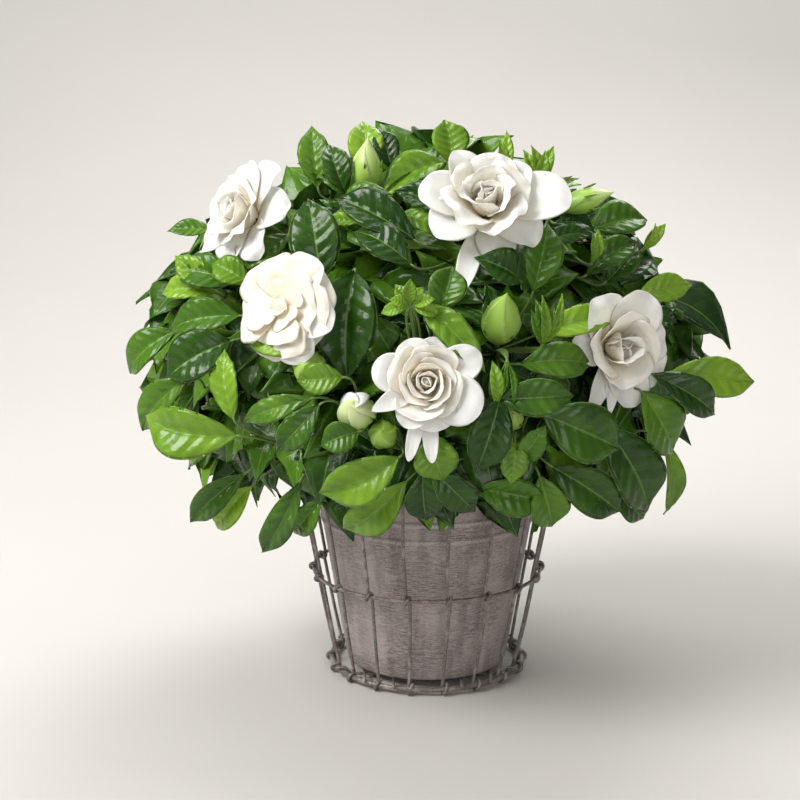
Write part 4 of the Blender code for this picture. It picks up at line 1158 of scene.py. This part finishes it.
bloom("bloom_top_left", "flower_top_left", 0, 28, LOOSE_HEART,
      ((15, 40, 32, 40, 104, 0.1, 0.14, 0.07), (58, 42, 30, 34, 92, 0.2, 0.12, 0.07),
       (95, 36, 30, 30, 84, 0.1, 0.08, 0.08), (140, 34, 28, 30, 76, 0.2, 0.10, 0.09),
       (185, 34, 26, 36, 88, 0.3, 0.12, 0.08), (225, 42, 26, 40, 92, 0.4, 0.12, 0.08),
       (270, 34, 28, 36, 98, 0.2, 0.12, 0.08), (318, 36, 32, 40, 104, 0.1, 0.14, 0.07)),
      1, 0.4, 0.08)
bloom("bloom_top", "flower_top", 1, 33, LOOSE_HEART,
      ((358, 54, 38, 36, 90, 0.05, 0.04, 0.04), (75, 36, 38, 20, 56, 0.1, 0.06, 0.06),
       (36, 38, 30, 24, 66, 0.3, 0.06, 0.06), (125, 42, 30, 24, 66, 0.5, 0.06, 0.06),
       (172, 45, 34, 34, 80, 0.15, 0.10, 0.06), (212, 40, 36, 36, 96, 0.2, 0.10, 0.07),
       (252, 55, 16, 70, 118, 0.3, 0.05, 0.04), (283, 36, 28, 50, 108, 0.1, 0.25, 0.10),
       (322, 40, 32, 40, 100, 0.2, 0.14, 0.08)),
      2, 0.4, 0.09)
bloom("bloom_left", "flower_left", 2, 30, FLAT_HEART,
      ((350, 34, 30, 60, 104, 0.0, 0.05, 0.05), (300, 35, 32, 60, 108, 0.0, 0.05, 0.05),
       (255, 32, 30, 60, 104, 0.0, 0.06, 0.05), (60, 34, 32, 60, 96, 0.0, 0.05, 0.05)),
      3, 0.30, 0.055, rim=0.54, roll=0.03)
bloom("bloom_front", "flower_front", 3, 27, ROSE_HEART,
      ((165, 34, 27, 40, 86, 0.05, 0.08, 0.04), (115, 28, 26, 40, 80, 0.0, 0.06, 0.04),
       (28, 37, 26, 40, 88, 0.1, 0.06, 0.04), (72, 28, 26, 40, 80, 0.0, 0.06, 0.04),
       (330, 38, 34, 40, 84, 0.05, 0.05, 0.04), (208, 38, 15, 40, 84, 0.8, 0.02, 0.03),
       (285, 30, 30, 40, 84, 0.0, 0.06, 0.04), (245, 30, 24, 40, 84, 0.1, 0.06, 0.04),
       (257, 47, 10, 60, 100, 0.1, 0.03, 0.03), (274, 47, 11, 60, 98, 0.1, 0.03, 0.03)),
      4, 0.20, 0.03, rim=0.70)
bloom("bloom_right", "flower_right", 4, 29, BALL_HEART,
      ((118, 42, 36, 30, 74, 0.0, 0.08, 0.06), (62, 42, 38, 30, 78, 0.0, 0.06, 0.05),
       (12, 36, 34, 34, 86, 0.05, 0.08, 0.06), (328, 38, 34, 34, 90, 0.1, 0.08, 0.06),
       (285, 40, 32, 34, 88, 0.1, 0.08, 0.06), (236, 52, 14, 44, 84, 0.9, 0.03, 0.03),
       (254, 44, 12, 44, 80, 0.9, 0.03, 0.03), (170, 34, 28, 34, 84, 0.2, 0.08, 0.06)),
      5, 0.40, 0.045, rim=0.80)

# Buds: piece, node, foot, direction, length, radius, twist, tones, sepals and their reach
BUDS = (
    ("tall_bud_green", "tall_bud", (-43, -55, 345), (0.05, -0.10, 1.00), 44, 9.5, 1.1, (0.45, 0.75), 5, 0.5),
    ("green_bud_front", "green_bud", (42, -122, 258), (0.10, -0.62, 0.78), 52, 11.5, 0.5,
     (0.32, 0.50), 4, 0.3),
    ("opening_bud_round", "opening_bud", (-46, -140, 216), (-0.05, -0.80, 0.45), 28, 10.5, 1.1,
     (0.45, 0.95), 5, 0.4),
    ("small_bud_front", "small_bud", (-29, -144, 204), (-0.10, -0.85, 0.35), 22, 8.5, 1.1,
     (0.25, 0.45), 5, 0.5),
    ("round_bud_left", "round_bud", (-74, -128, 246), (-0.20, -0.90, 0.20), 28, 10, 1.1, (0.35, 0.5), 4, 0.3),
    ("side_bud_right", "side_bud", (82, -55, 340), (0.93, -0.25, 0.30), 44, 7.5, 1.1, (0.2, 0.7), 5, 0.6),
    ("small_bud_right", "right_bud", (51, -140, 212), (0.05, -0.80, 0.45), 22, 7, 1.1, (0.3, 0.6), 5, 0.7),
)
# The opening bud's five petals close over it; two of them are already white
opening_axes = frame_of((-0.05, -0.80, 0.45))
opening = []
for k in range(5):
    white = k in (1, 2)
    opening.append(petal(
        (-46.5, -148, 220), opening_axes, 72 * k + 20, 41, 21, 72, -80, cup=11, base=1.5, rise=-8.0,
        wave=0.02, phase=k, tones=(0.50, 0.95) if white else (0.40, 0.85), edge=0.02, skew=0.22,
        finish=3 if white else 0))
for row in BUDS:
    bud(*row, extra=opening if row[1] == "opening_bud" else ())

# ---------------------------------------------------------------- stage, lights and camera


def make_floor():
    """A pale floor that turns up into a far wall along a quarter circle."""
    made, n = material("pale_floor", Roughness=0.7)
    cloud = n.grain(n.place(), 3.0)[0]
    n.feed(n.shader.inputs["Base Color"], n.mix(cloud, (0.54, 0.525, 0.50, 1), (0.57, 0.555, 0.53, 1)))
    turn = np.linspace(0, np.pi / 2, 25)
    away = np.concatenate([[-16.0], 0.9 + 2.5 * np.sin(turn), [3.4]])
    up = np.concatenate([[0.0], 2.5 - 2.5 * np.cos(turn), [6.0]])
    corners = [(x, y, z) for y, z in zip(away, up) for x in (-16.0, 16.0)]
    faces = [(2 * k, 2 * k + 1, 2 * k + 3, 2 * k + 2) for k in range(len(away) - 1)]
    mesh = bpy.data.meshes.new("floor")
    mesh.from_pydata(corners, [], faces)
    mesh.shade_smooth()
    mesh.materials.append(made)
    floor = bpy.data.objects.new("floor", mesh)
    bpy.context.scene.collection.objects.link(floor)


def area_light(name, place, size, power, colour, toward=(0, 0, 0.22)):
    """A square soft light, aimed at the middle of the crown unless `toward` says otherwise."""
    data = bpy.data.lights.new(name, "AREA")
    data.shape = "SQUARE"
    data.size = size
    data.energy = power
    data.color = colour
    lamp = bpy.data.objects.new(name, data)
    bpy.context.scene.collection.objects.link(lamp)
    lamp.location = place
    lamp.rotation_euler = (Vector(toward) - Vector(place)).to_track_quat("-Z", "Y").to_euler()


make_floor()
area_light("ceiling", (0.0, 0.0, 5.0), 12.0, 100, (1.0, 0.99, 0.97))
area_light("window", (-1.2, -0.6, 1.4), 1.0, 41, (1.0, 0.985, 0.96))
area_light("fill", (0.5, -1.9, 0.6), 1.0, 9, (1.0, 0.975, 0.95))
area_light("back", (0.4, 1.2, 1.5), 1.0, 17, (1.0, 0.99, 0.97))
area_light("backdrop", (0.0, 0.9, 2.6), 1.6, 52, (1.0, 0.99, 0.97), toward=(0.0, 3.4, 0.9))

world = bpy.data.worlds.new("studio")
world.use_nodes = True
world.node_tree.nodes["Background"].inputs[0].default_value = (1.0, 0.985, 0.96, 1)
world.node_tree.nodes["Background"].inputs[1].default_value = 0.20
bpy.context.scene.world = world
bpy.context.scene.view_settings.view_transform = "Standard"

lens = bpy.data.cameras.new("camera")
lens.lens = 80.46
lens.sensor_width = 36.0
camera = bpy.data.objects.new("camera", lens)
bpy.context.scene.collection.objects.link(camera)
camera.location = (-0.0195, -1.257, 0.465)
camera.rotation_euler = (math.radians(90 - 12.0), 0, 0)
bpy.context.scene.camera = camera
